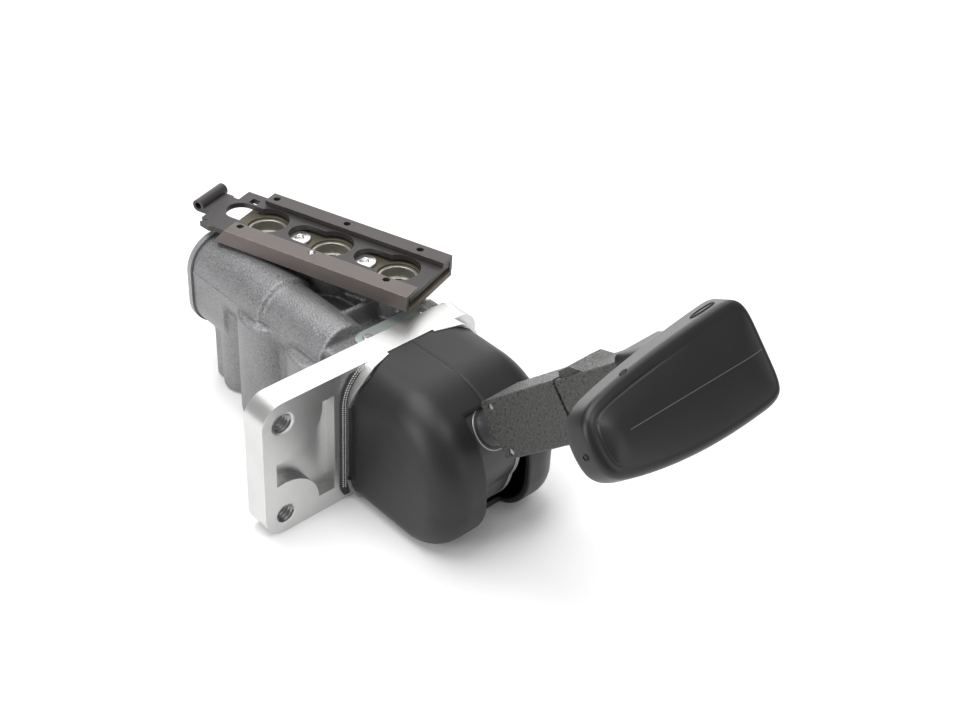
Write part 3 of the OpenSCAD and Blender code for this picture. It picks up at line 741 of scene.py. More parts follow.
@dataclass
class RoundedPart:
    """A CAD node whose form is right, with its sharp edges rounded as its making leaves them.

    Attributes:
        node: the CAD node.
        finish: its finish.
        body: the CAD body it belongs to.
        slot: the record's material slot; not used.
        radius: how far the edges are rounded, in millimetres.
        segments: number of faces across a rounded edge.
        angle: edges sharper than this are rounded, in degrees.
    """

    node: str
    finish: Finish
    body: Body
    slot: str
    radius: float = 0.4
    segments: int = 2
    angle: float = 40.0

    def shape(self, points: np.ndarray) -> np.ndarray:
        """Moves the copied mesh's points before its edges are rounded; a plain part keeps them.

        Args:
            points: the mesh's points, in millimetres.

        Returns:
            The points as the part wants them.
        """
        return points

    def build(self, frame: dict) -> bpy.types.Object:
        """Copies the node's mesh, rounds it and dresses it.

        Args:
            frame: the loaded frame.

        Returns:
            The dressed piece.
        """
        mesh = frame["nodes"][self.node].data.copy()
        mesh.materials.clear()
        piece = bpy.data.objects.new(f"{self.node}_rounded", mesh)
        bpy.context.scene.collection.objects.link(piece)
        bm = bmesh.new()
        bm.from_mesh(mesh)
        bmesh.ops.remove_doubles(bm, verts=bm.verts, dist=0.002 * MM)
        bmesh.ops.dissolve_limit(
            bm, angle_limit=math.radians(1.0), verts=bm.verts, edges=bm.edges, delimit={"NORMAL"}
        )
        bm.to_mesh(mesh)
        bm.free()
        points = np.empty(3 * len(mesh.vertices), dtype=np.float32)
        mesh.vertices.foreach_get("co", points)
        moved = self.shape(points.reshape(-1, 3) / MM) * MM
        mesh.vertices.foreach_set("co", moved.astype(np.float32).ravel())
        mesh.update()
        bevel = piece.modifiers.new("round", "BEVEL")
        bevel.width = self.radius * MM
        bevel.segments = self.segments
        bevel.limit_method = "ANGLE"
        bevel.angle_limit = math.radians(self.angle)
        bevel.use_clamp_overlap = True
        flat = piece.modifiers.new("keep_faces_flat", "WEIGHTED_NORMAL")
        flat.mode = "FACE_AREA"
        flat.weight = 100
        flat.keep_sharp = True
        shade(piece, self.angle)
        apply_modifiers(piece)
        dress(piece, self.finish, self.body, (self.node,))
        return piece


@dataclass
class Flange(RoundedPart):
    """The bright flange, whose raised collars round the hood's corners run out to nothing at their ends.

    Attributes:
        ends: X and Z of the collars' ends.
        run_out: the length over which a collar sinks to its end.
        least: share of the collar's height that is left at its ends.
        collar_from: what stands out from the face by more than this is collar.
    """

    ends: tuple[tuple[float, float], ...] = (
        (24.7, 13.0), (41.9, 27.8), (61.5, 27.8), (80.3, 13.0), (24.7, -18.0), (36.0, -26.1)
    )
    run_out: float = 11.0
    least: float = 0.12
    collar_from: float = 0.3

    def shape(self, points: np.ndarray) -> np.ndarray:
        """Lowers the collar towards its ends.

        Its height is multiplied by the least share, plus the rest times the distance over the run-out to the
        power 0.6.

        Args:
            points: the mesh's points, in millimetres.

        Returns:
            The points, with those of the collar moved along Y.
        """
        ends = np.array(self.ends)
        near = np.hypot(points[:, :1] - ends[:, 0], points[:, 2:] - ends[:, 1]).min(axis=1)
        share = self.least + (1 - self.least) * np.minimum(near / self.run_out, 1.0) ** 0.6
        moved = points.copy()
        moved[:, 1] *= np.where(points[:, 1] < -self.collar_from, share, 1.0)
        return moved


@dataclass
class Casting:
    """The valve's cast body, with the soft corners and the parting flash of a casting.

    Attributes:
        voxel: size of the remeshing voxel, in millimetres.
        smoothing: number of smoothing passes.
        barrel_x: middle of the barrel.
        barrel_z: height of the parting line.
        radius: radius of the barrel's rear part.
        front_radius: radius of the barrel's front part.
        step_y: where the two parts meet.
        flash: radius of the raised parting line.
    """

    voxel: float = 0.62
    smoothing: int = 9
    barrel_x: float = 39.5
    barrel_z: float = 16.9
    radius: float = 12.3
    front_radius: float = 10.8
    step_y: float = 51.0
    flash: float = 0.42

    def soft_copy(self, frame: dict) -> bpy.types.Object:
        """Remeshes the CAD casting and smooths it, which rounds its corners and fills its inner ones.

        Args:
            frame: the loaded frame.

        Returns:
            The soft copy.
        """
        mesh = frame["nodes"]["valve_body"].data.copy()
        mesh.materials.clear()
        piece = bpy.data.objects.new("casting_soft", mesh)
        bpy.context.scene.collection.objects.link(piece)
        bm = bmesh.new()
        bm.from_mesh(mesh)
        bmesh.ops.remove_doubles(bm, verts=bm.verts, dist=0.002 * MM)
        bm.to_mesh(mesh)
        bm.free()
        remesh = piece.modifiers.new("skin", "REMESH")
        remesh.mode = "VOXEL"
        remesh.voxel_size = self.voxel * MM
        smooth = piece.modifiers.new("soften", "SMOOTH")
        smooth.factor = 0.5
        smooth.iterations = self.smoothing
        apply_modifiers(piece)
        shade(piece, 180.0)
        return piece

    def parting_line(self) -> bpy.types.Object:
        """Builds the raised line that the two halves of the mould leave along the barrel.

        Returns:
            The piece.
        """
        y = np.concatenate([np.linspace(20, self.step_y - 1.5, 24), np.linspace(self.step_y + 0.5, 88.5, 30)])
        radius = np.where(y < self.step_y, self.front_radius, self.radius)
        wobble = 0.05 * np.sin(y * 1.7) + 0.04 * np.sin(y * 4.3)
        path = np.column_stack([self.barrel_x - radius + 0.18, y, self.barrel_z + 0.9 + wobble])
        points, faces = tube(path, self.flash, 8)
        return solid("casting_parting_line", points, faces)

    def floor_ridges(self) -> bpy.types.Object:
        """Builds the low ridges on the recess floor between the barrel and the port row.

        Returns:
            The piece.
        """
        route = np.array([(44.6, 52.5, 18.5), (46.2, 50.6, 18.7), (50.1, 51.2, 18.7), (54.0, 47.0, 18.7),
                          (57.1, 43.3, 18.6), (58.3, 35.5, 18.5)])
        steps = np.linspace(0, len(route) - 1, 60)
        dense = np.column_stack([np.interp(steps, np.arange(len(route)), route[:, k]) for k in range(3)])
        kernel = np.ones(7) / 7
        for k in range(3):
            padded = np.pad(dense[:, k], 3, mode="edge")
            dense[:, k] = np.convolve(padded, kernel, mode="valid")
        points, faces = tube(dense, 0.95, 12)
        return solid("casting_floor_ridges", points, faces)

    def build(self, frame: dict) -> None:
        """Builds and dresses the casting.

        Args:
            frame: the loaded frame.
        """
        dress(self.soft_copy(frame), CASTING, Body.VALVE, ("valve_body",))
        for piece in (self.parting_line(), self.floor_ridges()):
            dress(piece, CASTING, Body.VALVE)


@dataclass
class Hood:
    """The moulded hood of two halves over the cam drum.

    Attributes:
        middle: the seam's place along X.
        width: width of both halves together.
        top, bottom: height of the hood's top and depth of its bottom.
        depth: how far it stands out from the flange.
        front_r, chin_r: radii of the front above and below the pivot.
        edges: radii of the side edges at the top, the front and the bottom.
        wall: thickness of the wall.
        slot: left and right edge of the lever's slot.
        slot_from, slot_to: where the slot starts and ends, as angles about the pivot.
        seam_gap: gap between the two halves.
        lip: radius of the slot's lip.
        seam_lip: radius of the edges at the seam.
        rows: number of faces along the outline above, in and below the slot.
        columns_in: number of faces from the side edge to the slot's edge.
        columns_slot: number of faces across half the slot.
    """

    middle: float = 52.5
    width: float = 53.0
    top: float = 27.0
    bottom: float = 26.0
    depth: float = 48.2
    front_r: float = 29.6
    chin_r: float = 18.4
    edges: tuple[float, float, float] = (13.0, 11.0, 7.0)
    wall: float = 2.4
    slot: tuple[float, float] = (43.9, 62.5)
    slot_from: float = 117.0
    slot_to: float = 251.0
    seam_gap: float = 0.06
    lip: float = 0.9
    seam_lip: float = 0.14
    rows: tuple[int, int, int] = (25, 47, 15)
    columns_in: int = 7
    columns_slot: int = 6

    def outline(self, s: np.ndarray) -> tuple[np.ndarray, np.ndarray, np.ndarray]:
        """Gives places on the side outline, which is a line, a quarter arc, a line, a quarter arc and a line.

        Args:
            s: distances from the flange's top edge round to its bottom edge, from 0 to 1.

        Returns:
            The centres that the outline bends about as rows of Y and Z, the radii, and the outward angles in
            degrees.
        """
        upper = (self.front_r - self.depth, self.top - self.front_r)
        chin = (self.chin_r - self.depth, self.chin_r - self.bottom)
        quarter = math.pi / 2
        drop = upper[1] - chin[1]
        lengths = np.array([-upper[0], quarter * self.front_r, drop, quarter * self.chin_r, -chin[0]])
        ends = np.cumsum(lengths)
        part = np.searchsorted(ends[:-1], s * ends[-1])
        f = (s * ends[-1] - (ends - lengths)[part]) / lengths[part]
        starts = np.array([(0.0, upper[1]), upper, upper, chin, chin])
        moves = np.array([(upper[0], 0.0), (0.0, 0.0), (0.0, -drop), (0.0, 0.0), (-chin[0], 0.0)])
        centre = starts[part] + moves[part] * f[:, None]
        radius = np.where(part < 3, self.front_r, self.chin_r)
        first = np.array([90.0, 90.0, 180.0, 180.0, 270.0])
        turned = np.array([0.0, 90.0, 0.0, 90.0, 0.0])
        angle = first[part] + turned[part] * f
        return centre, radius, angle

    def find(self, target: float) -> float:
        """Finds the place along the outline that lies at an angle about the pivot, in degrees from +Y.

        Args:
            target: the angle.

        Returns:
            The place, from 0 to 1.
        """
        s = np.linspace(0, 1, 20001)
        centre, radius, angle = self.outline(s)
        y = centre[:, 0] + radius * np.cos(np.radians(angle)) - LEVER.pivot_y
        z = centre[:, 1] + radius * np.sin(np.radians(angle)) - LEVER.pivot_z
        return float(np.interp(target, np.degrees(np.arctan2(z, y)) % 360.0, s))

    def half(self, side: int) -> bpy.types.Object:
        """Builds one half as a closed shell.

        Each row of points goes out over the flat side, round the side edge and across to the seam.

        Args:
            side: -1 for the left half and 1 for the right half.

        Returns:
            The half with its lips rounded.
        """
        slot_edge = abs(self.slot[0 if side < 0 else 1] - self.middle)
        outer = self.width / 2
        stops = (0.0, self.find(self.slot_from), self.find(self.slot_to), 1.0)
        pieces = [np.linspace(stops[k], stops[k + 1], self.rows[k] + 1)[min(k, 1):] for k in range(3)]
        centre, radius, angle = self.outline(np.concatenate(pieces))
        edge = np.interp(angle, (90.0, 180.0, 270.0), self.edges)
        facing = np.column_stack([np.cos(np.radians(angle)), np.sin(np.radians(angle))])
        turns = np.linspace(0, math.pi / 2, 11)
        scales = np.array([0.0, 0.3, 0.6, 0.85])
        middle = np.array([0.0, 1.0])
        rim = centre + (radius - edge)[:, None] * facing
        flat = middle + (rim - middle)[:, None, :] * scales[:, None]
        reach = radius[:, None] - edge[:, None] * (1 - np.sin(turns))
        rounded = centre[:, None, :] + reach[:, :, None] * facing[:, None, :]
        inner = np.linspace(outer - edge, slot_edge, self.columns_in + 1, axis=1)[:, 1:]
        slot = np.linspace(slot_edge, self.seam_gap / 2, self.columns_slot + 1)[1:]
        count = len(angle)
        across = np.hstack([inner, np.tile(slot, (count, 1))])
        front = np.repeat((centre + radius[:, None] * facing)[:, None, :], across.shape[1], axis=1)
        bend = outer - edge[:, None] * (1 - np.cos(turns))
        x = np.hstack([np.full((count, len(scales)), outer), bend, across])
        yz = np.concatenate([flat, rounded, front], axis=1)
        points = np.concatenate([self.middle + side * x[:, :, None], yz], axis=2).reshape(-1, 3)
        columns = x.shape[1]
        row, column = np.divmod(np.arange((count - 1) * (columns - 1)), columns - 1)
        in_rows = (row >= self.rows[0]) & (row < self.rows[0] + self.rows[1])
        in_slot = in_rows & (column >= columns - self.columns_slot - 1)
        faces = [face[::side] for face, cut in zip(grid_faces(count, columns), in_slot) if not cut]
        piece = mesh_object("hood_shell_left" if side < 0 else "hood_shell_right", points, faces)
        self.thicken(piece, side)
        return piece

    @staticmethod
    def sharp_edges(bm: bmesh.types.BMesh) -> list[bmesh.types.BMEdge]:
        """Gives the edges between two faces that meet at more than 50 degrees.

        Args:
            bm: the mesh.

        Returns:
            The edges.
        """
        steep = math.radians(50)
        return [e for e in bm.edges if len(e.link_faces) == 2 and e.calc_face_angle(0.0) > steep]

    def thicken(self, piece: bpy.types.Object, side: int) -> None:
        """Gives the shell its wall and rounds the slot's lip and, a little, the seam.

        Args:
            piece: the open shell.
            side: -1 for the left half and 1 for the right half.
        """
        bm = bmesh.new()
        bm.from_mesh(piece.data)
        bmesh.ops.remove_doubles(bm, verts=bm.verts, dist=0.01 * MM)
        bmesh.ops.recalc_face_normals(bm, faces=bm.faces)
        probe = max(bm.faces, key=lambda f: f.calc_center_median().z)
        if probe.normal.z < 0:
            bmesh.ops.reverse_faces(bm, faces=bm.faces)
        bm.to_mesh(piece.data)
        bm.free()
        shell = piece.modifiers.new("wall", "SOLIDIFY")
        shell.thickness = self.wall * MM
        shell.offset = -1.0
        shell.use_even_offset = True
        apply_modifiers(piece)
        bm = bmesh.new()
        bm.from_mesh(piece.data)
        seam_x = (self.middle + side * self.seam_gap / 2) * MM

        def on_seam(edge: bmesh.types.BMEdge) -> bool:
            """Says whether an edge lies in the seam's face."""
            return all(abs(v.co.x - seam_x) < 0.02 * MM for v in edge.verts)

        for radius, segments, seam in ((self.lip, 3, False), (self.seam_lip, 2, True)):
            edges = [
                e
                for e in self.sharp_edges(bm)
                if on_seam(e) == seam and (seam or any(v.co.y <= -0.1 * MM for v in e.verts))
            ]
            bmesh.ops.bevel(
                bm, geom=edges, offset=radius * MM, segments=segments, profile=0.5, affect="EDGES",
                clamp_overlap=True,
            )
        bm.to_mesh(piece.data)
        bm.free()
        shade(piece, 38.0)

    def build(self) -> None:
        """Builds and dresses both halves."""
        dress(self.half(-1), HOOD, Body.VALVE, ("hood_left",))
        dress(self.half(1), HOOD, Body.VALVE, ("hood_right",))


@dataclass
class Handle:
    """The broad T handle: a flat tapering head across the lever's end, with a flared socket behind it.

    Attributes:
        middle: the lever's middle along X.
        drop: how far the head's middle plane lies below the arm's axis.
        back, front: distances of the head's two faces from the pivot.
        left, right: how far the head reaches from the middle.
        half_left, half_right: half heights at the two ends.
        corner: length over which the moving average rounds the corners.
        sag: how far the lower side bows out more than the upper one.
        socket_from: where the socket's mouth is.
        socket: width and height of the socket's mouth.
        hollow: width and height of the hollow in the socket.
        lift: how far the upper side's right end rises, at the back and at the front.
        rise: how far the front is crowned.
        crown: power of the crown's fall towards the rim.
        rim_r: radius of the front rim.
        back_r: radius of the back rim.
        spine_left, spine_right: how far the crown's ridge stays from the two ends.
        count: number of points round the outline.
        parting: how far the rim's front half is drawn in at the parting.
        groove_above, groove_below: where the groove inside the rim ends, from the middle above and from the
            left end below, and the length over which it fades.
        groove_profile: the groove's section, as shares of the way to the rim and depths.
        hollow_deep: depth of the hollow in the socket.
        flare: how much wider and higher the socket gets on its way to the head.
        neck_long: length of the socket.
        top_marks: place along X, half length, half width and distance from the back of the two upper marks.
        end_mark: distance below the middle, distance from the back and radius of the mark at the left end.
    """

    middle: float = 52.5
    drop: float = 3.2
    back: float = 112.5
    front: float = 124.5
    left: float = 46.2
    right: float = 22.0
    half_left: float = 8.4
    half_right: float = 14.9
    corner: float = 9.5
    sag: float = 1.6
    socket_from: float = 99.0
    socket: tuple[float, float] = (20.4, 23.3)
    hollow: tuple[float, float] = (16.8, 19.7)
    lift: tuple[float, float] = (3.8, 0.3)
    rise: float = 1.9
    crown: float = 2.2
    rim_r: float = 2.7
    back_r: float = 2.4
    spine_left: float = 10.0
    spine_right: float = 13.0
    count: int = 220
    parting: float = 0.15
    groove_above: tuple[float, float] = (8.0, 26.0)
    groove_below: tuple[float, float] = (10.0, 8.0)
    groove_profile: tuple[tuple[float, float], ...] = (
        (0.975, 0.05), (0.95, 0.30), (0.92, 0.34), (0.90, 0.14), (0.885, 0.0)
    )
    hollow_deep: float = 9.4
    flare: tuple[float, float] = (7.0, 0.6)
    neck_long: float = 14.3
    top_marks: tuple[tuple[float, float, float, float], ...] = ((9.6, 5.0, 0.9, 5.4), (-26.0, 1.3, 0.45, 8.0))
    end_mark: tuple[float, float, float] = (1.5, 5.5, 0.8)

    def border(self) -> np.ndarray:
        """Gives the head's outline seen along the arm, evenly spaced, as x and t from its middle plane.

        Each side bows from the left half height to the right one by the sine of the share of the span to the
        power 0.62, and the lower side sags by the sine of the share. Two moving averages round the corners.
        """
        f = np.linspace(0, 1, 200)
        x = -self.left + (self.left + self.right) * f
        half = self.half_left + (self.half_right - self.half_left) * np.sin(math.pi / 2 * f**0.62)
        sag = self.sag * np.sin(math.pi * f)
        loop = np.vstack([np.column_stack([x, half]), np.column_stack([x, -half - sag])[::-1]])
        loop = np.vstack([loop, loop[:1]])
        walked = np.concatenate([[0.0], np.cumsum(np.linalg.norm(np.diff(loop, axis=0), axis=1))])
        places = np.linspace(0.0, walked[-1], self.count, endpoint=False)
        even = np.column_stack([np.interp(places, walked, loop[:, k]) for k in range(2)])
        reach = round(self.corner / 2 / (walked[-1] / self.count))
        for _ in range(2):
            even = np.mean([np.roll(even, k, axis=0) for k in range(-reach, reach + 1)], axis=0)
        return even

    def outline(self, inset: float) -> np.ndarray:
        """Gives the head's outline drawn in by inset: each point moves by it along the inward normal.

        Args:
            inset: how far it is drawn in.

        Returns:
            The points.
        """
        border = self.border()
        along = np.roll(border, -1, axis=0) - np.roll(border, 1, axis=0)
        along /= np.linalg.norm(along, axis=1, keepdims=True)
        return border + inset * np.column_stack([along[:, 1], -along[:, 0]])

    def raised(self, ring: np.ndarray, s: float | np.ndarray) -> np.ndarray:
        """Raises the upper half of a ring towards the right end.

        The rise is the lift at distance s, times the share of the way to the right end to the power 1.3,
        times the share of the half height.

        Args:
            ring: outline points as X from the lever's middle and height.
            s: the ring's distance from the pivot, or one for each point.

        Returns:
            The raised points.
        """
        share = np.clip((s - self.back) / (self.front - self.back), 0, 1)
        lift = self.lift[0] + (self.lift[1] - self.lift[0]) * share
        along = np.clip((ring[:, 0] + self.left) / (self.left + self.right), 0, 1) ** 1.3
        high = np.clip(ring[:, 1] / self.half_right, 0, 1)
        return ring + np.column_stack([np.zeros(len(ring)), lift * along * high])

    def spine(self, points: np.ndarray) -> np.ndarray:
        """Gives the nearest places on the head's middle line.

        Args:
            points: points of the outline.

        Returns:
            One place for each point.
        """
        x = np.clip(points[:, 0], -self.left + self.spine_left, self.right - self.spine_right)
        return np.column_stack([x, np.zeros(len(x))])

    def groove_share(self, edge: np.ndarray) -> np.ndarray:
        """Gives the depth share of the groove inside the rim: full at the left, none at the right.

        Above and below, the share is what is left of the fading length up to the groove's end.

        Args:
            edge: points of the rim's inner edge.

        Returns:
            One share for each point.
        """
        above = np.clip((self.groove_above[0] - edge[:, 0]) / self.groove_above[1], 0, 1)
        below = np.clip((self.groove_below[0] - self.left - edge[:, 0]) / self.groove_below[1], 0, 1)
        return np.where(edge[:, 1] > 0, above, below)

    def back_rings(self) -> list[tuple[np.ndarray, float]]:
        """Gives the rings of the flat back and its rounded edge, from the middle line outwards.

        Returns:
            Each ring's points and its distance from the pivot.
        """
        flat = self.outline(self.back_r)
        spine = self.spine(flat)
        rings = [(spine + (flat - spine) * share, self.back) for share in (0.0, 0.35, 0.7, 1.0)]
        for turn in np.linspace(0, math.pi / 2, 7)[1:]:
            ring = self.outline(self.back_r * (1 - math.sin(turn)))
            rings.append((ring, self.back + self.back_r * (1 - math.cos(turn))))
        return rings

    def front_rings(self) -> list[tuple[np.ndarray, float | np.ndarray]]:
        """Gives the rings of the rounded rim, the groove inside it and the crowned front, in this order.

        The front's height is the rise times one less the share of the way to the rim to the crown's power.

        Returns:
            Each ring's points and its distance from the pivot.
        """
        level = self.front - self.rise
        rings = []
        for turn in np.linspace(0, math.pi / 2, 9):
            inset = self.parting + (self.rim_r - self.parting) * (1 - math.cos(turn))
            rings.append((self.outline(inset), level - self.rim_r * (1 - math.sin(turn))))
        edge = self.outline(self.rim_r)
        spine = self.spine(edge)
        groove = self.groove_share(edge)
        grooved = np.array(self.groove_profile)
        crowned = np.linspace(0.86, 0.0, 18)
        shares = np.concatenate([grooved[:, 0], crowned])
        drops = np.concatenate([grooved[:, 1], np.zeros(len(crowned))])
        for share, drop in zip(shares, drops):
            height = level + self.rise * (1 - share**self.crown) - drop * groove
            rings.append((spine + (edge - spine) * share, height))
        return rings

    def head(self) -> bpy.types.Object:
        """Builds the head with its rounded rims, the groove inside the front rim and the crowned front.

        Returns:
            The piece.
        """
        rings = self.back_rings() + self.front_rings()
        points = np.vstack(
            [
                np.column_stack(
                    [self.middle + ring[:, 0], self.raised(ring, s)[:, 1] - self.drop, np.full(len(ring), s)]
                )
                for ring, s in rings
            ]
        )
        faces = grid_faces(len(rings), self.count, closed=True)
        return solid("handle_head", LEVER.place(points), faces, merge=0.02, smooth_angle=30.0)

    @staticmethod
    def box_ring(width: float, height: float, radius: float, count: int = 9) -> np.ndarray:
        """Gives a rectangle with round corners, each corner a quarter arc.

        Args:
            width: its width.
            height: its height.
            radius: the corners' radius, held just under half of each side.
            count: number of points in a corner.

        Returns:
            The points as X and height, from the right side round.
        """
        radius = min(radius, width / 2 - 0.1, height / 2 - 0.1)
        rows = []
        for quarter, (sx, st) in enumerate(((1, 1), (-1, 1), (-1, -1), (1, -1))):
            a = np.radians(np.linspace(0, 90, count) + 90 * quarter)
            centre = np.array([sx * (width / 2 - radius), st * (height / 2 - radius)])
            rows.append(centre + radius * np.column_stack([np.cos(a), np.sin(a)]))
        return np.vstack(rows)

    def neck(self) -> bpy.types.Object:
        """Builds the socket that flares into the head and takes the release collar.

        Returns:
            The piece.
        """
        deep = self.socket_from + self.hollow_deep
        rings = [(self.box_ring(*self.hollow, 1.2), deep, 0.0)]
        rings.append((self.box_ring(*self.hollow, 1.2), self.socket_from + 0.6, 0.0))
        rings.append((self.box_ring(self.hollow[0] + 0.8, self.hollow[1] + 0.8, 1.6), self.socket_from, 0.0))
        rings.append((self.box_ring(self.socket[0] - 1.2, self.socket[1] - 1.2, 1.9), self.socket_from, 0.0))
        rings.append((self.box_ring(*self.socket, 2.4), self.socket_from + 0.7, 0.0))
        for f in np.linspace(0.12, 1, 12):
            share = f**2.2
            width = self.socket[0] + self.flare[0] * share
            height = self.socket[1] + self.flare[1] * share
            ring = self.box_ring(width, height, 2.6 + 5.0 * f)
            rings.append((ring, self.socket_from + self.neck_long * f, -0.7 * f))
        points = np.vstack(
            [np.column_stack([self.middle + r[:, 0], r[:, 1] + t, np.full(len(r), s)]) for r, s, t in rings]
        )
        count = len(rings[0][0])
        faces = grid_faces(len(rings), count, closed=True)
        faces.append(tuple(range(count)))
        return solid("handle_neck", LEVER.place(points), faces, merge=0.002, smooth_angle=40.0)

    def mould_line(self) -> bpy.types.Object:
        """Builds the fine raised line that the mould leaves along the crown's ridge.

        Returns:
            The piece.
        """
        x = np.linspace(-self.left + self.spine_left + 1.5, self.right - self.rim_r - 0.3, 60)
        share = np.clip((x - self.right + self.spine_right) / (self.spine_right - self.rim_r), 0, 1)
        path = np.column_stack(
            [self.middle + x, np.full(len(x), -self.drop), self.front - self.rise * share**self.crown]
        )
        points, faces = tube(path, 0.15, 6)
        return solid("handle_mould_line", LEVER.place(points), faces)

    def upper_side(self, x: np.ndarray, s: np.ndarray) -> np.ndarray:
        """Gives the height of the head's upper side over the arm's axis.

        Args:
            x: places along X, from the lever's middle.
            s: their distances from the pivot.

        Returns:
            One height for each place.
        """
        border = self.border()
        upper = border[border[:, 1] > 0.8 * self.half_left]
        upper = upper[np.argsort(upper[:, 0])]
        flat = np.column_stack([x, np.interp(x, upper[:, 0], upper[:, 1])])
        return self.raised(flat, s)[:, 1] - self.drop

    def rim_marks(self) -> bpy.types.Object:
        """Builds the mould's marks on the rim: an oval ring, a gate stub and a small round ring.

        Returns:
            The piece.
        """
        a = np.linspace(0, 2 * math.pi, 28, endpoint=False)
        parts = []
        for x, long, short, s in self.top_marks:
            xs = x + long * np.cos(a)
            distance = self.back + s + short * np.sin(a)
            path = np.column_stack([self.middle + xs, self.upper_side(xs, distance), distance])
            parts.append(tube(path, 0.17, 6, closed=True))
        below, away, radius = self.end_mark
        height = radius * np.cos(a) - self.drop - below
        distance = self.back + away + radius * np.sin(a)
        end = np.column_stack([np.full(len(a), self.middle - self.left), height, distance])
        parts.append(tube(end, 0.14, 6, closed=True))
        points, faces = joined(parts)
        return solid("handle_rim_marks", LEVER.place(points), faces, merge=0.001)

    def build(self) -> None:
        """Builds and dresses the handle."""
        dress(self.head(), HANDLE, Body.LEVER, ("handle",))
        for piece in (self.neck(), self.rim_marks()):
            dress(piece, HANDLE, Body.LEVER)
        dress(self.mould_line(), SEAM, Body.LEVER)


@dataclass
class DrumTrim:
    """The shutter that carries the drum's face on down the slot, a black strip of painted shadow in the gap
    and a pale strip of painted highlight beside it, and the stem's ring.

    Attributes:
        radius: radius of the drum.
        shutter: where the shutter starts and ends, as angles below the lever.
        drop: how much farther out than the drum the shutter's foot lies.
        width: left and right edge of the shutter along X.
        wall: the shutter's thickness.
        groove: left and right edge along X of the black strip of painted shadow in the gap.
        highlight_band: left and right edge of the pale strip of painted highlight.
        ring_r: radius of the ring round the stem.
        middle: the lever's middle along X.
        count: number of sections along a sheet.
        chamfer: the chamfer of a sheet's outer edges.
    """

    radius: float = 19.0
    shutter: tuple[float, float] = (72.0, 107.0)
    drop: float = 5.8
    width: tuple[float, float] = (44.35, 60.65)
    wall: float = 1.2
    groove: tuple[float, float] = (58.2, 58.9)
    highlight_band: tuple[float, float] = (58.9, 60.6)
    ring_r: float = 7.5
    middle: float = 52.5
    count: int = 90
    chamfer: float = 0.12

    def reach(self, angle: np.ndarray) -> np.ndarray:
        """Gives the face's distance from the pivot: the drum's radius, growing evenly along the shutter.

        Args:
            angle: angles below the lever, in degrees.

        Returns:
            The distances.
        """
        first, last = self.shutter
        return self.radius + self.drop * np.clip((angle - first) / (last - first), 0, None) ** 1.15

    def sheet(
        self, name: str, edges: tuple[float, float], angles: tuple[float, float], inner: float, outer: float
    ) -> bpy.types.Object:
        """Builds a curved bar that follows the face: a flat section carried round the pivot.

        Args:
            name: the piece's name.
            edges: its left and right edge along X.
            angles: where it starts and ends below the lever, in degrees.
            inner: its inner face, from the drum's face.
            outer: its outer face, from the drum's face.

        Returns:
            The bar, closed at both ends.
        """
        angle = np.linspace(*angles, self.count)[:, None]
        left, right = edges
        x = np.array([left, left + self.chamfer, right - self.chamfer, right, right, left])
        out = np.array([outer - self.chamfer, outer, outer, outer - self.chamfer, inner, inner])
        sides = len(x)
        r = self.reach(angle) + out
        turn = np.radians(angle)
        points = np.stack([x + 0 * turn, -r * np.sin(turn), r * np.cos(turn)], axis=-1).reshape(-1, 3)
        total = sides * self.count
        ends = [tuple(range(sides)), tuple(range(total - 1, total - sides - 1, -1))]
        faces = grid_faces(self.count, sides, closed=True) + ends
        return solid(name, LEVER.place(points), faces, merge=0.001)

    def stem_ring(self) -> bpy.types.Object:
        """Builds the ring that lies on the drum round the stem: a circle laid on the drum's cylinder.

        Returns:
            The piece.
        """
        a = np.linspace(0, 2 * math.pi, 64, endpoint=False)
        t = self.ring_r * np.sin(a)
        path = np.column_stack([self.middle + self.ring_r * np.cos(a), t, np.sqrt(self.radius**2 - t**2)])
        points, faces = tube(path, 0.24, 8, closed=True)
        return solid("drum_stem_ring", LEVER.place(points), faces)

    def build(self) -> None:
        """Builds and dresses the trim."""
        last = self.shutter[1]
        shutter = self.sheet("drum_shutter", self.width, (self.shutter[0] - 2, last), -self.wall, 0.0)
        dress(shutter, DRUM, Body.LEVER)
        # A black strip laid on the drum's face paints the shadow in the gap.
        groove = self.sheet("drum_painted_gap_shadow", self.groove, (-60.0, last - 0.3), -0.3, 0.02)
        dress(groove, SHADOW, Body.LEVER)
        # A pale strip laid on the drum's face paints a highlight beside the gap.
        highlight_band = self.sheet("drum_painted_highlight_band", self.highlight_band, (-60.0, last - 0.3), -0.3, 0.06)
        dress(highlight_band, PAINTED_HIGHLIGHT, Body.LEVER)
        # The ring round the stem is real geometry; its pale finish paints the highlight on its edge.
        dress(self.stem_ring(), PAINTED_HIGHLIGHT, Body.LEVER)


@dataclass
class ThreadedHoles:
    """The threads in the flange's two holes.

    Attributes:
        pitch: distance between the holes.
        core: radius of the hole in the CAD.
        lead: the thread's pitch.
        depth: how deep the thread runs.
    """

    pitch: float = 38.0
    core: float = 3.4
    lead: float = 1.25
    depth: float = 8.6

    def thread(self, z: float) -> tuple[np.ndarray, list]:
        """Builds one hole's thread: a ridge's section turned about the hole, moved on by the lead each turn.

        Args:
            z: height of the hole's axis.

        Returns:
            The points and the faces.
        """
        steps = 32
        count = int(self.depth / self.lead * steps)
        r = np.array([self.core + 0.03, self.core - 0.5, self.core - 0.5, self.core + 0.03])
        offset = np.array([-0.55, -0.08, 0.08, 0.55])
        turn = np.arange(count + 1)[:, None] / steps
        a = 2 * math.pi * turn
        y = 0.6 + self.lead * turn + offset
        points = np.stack([r * np.cos(a), y, z + r * np.sin(a)], axis=-1).reshape(-1, 3)
        ends = [(0, 1, 2, 3), tuple(range(4 * count + 3, 4 * count - 1, -1))]
        return points, grid_faces(count + 1, 4, closed=True) + ends

    def build(self) -> None:
        """Builds and dresses the threads."""
        points, faces = joined([self.thread(z) for z in (-self.pitch / 2, self.pitch / 2)])
        piece = solid("hole_threads", points, faces, smooth_angle=25.0)
        dress(piece, STEEL, Body.VALVE)


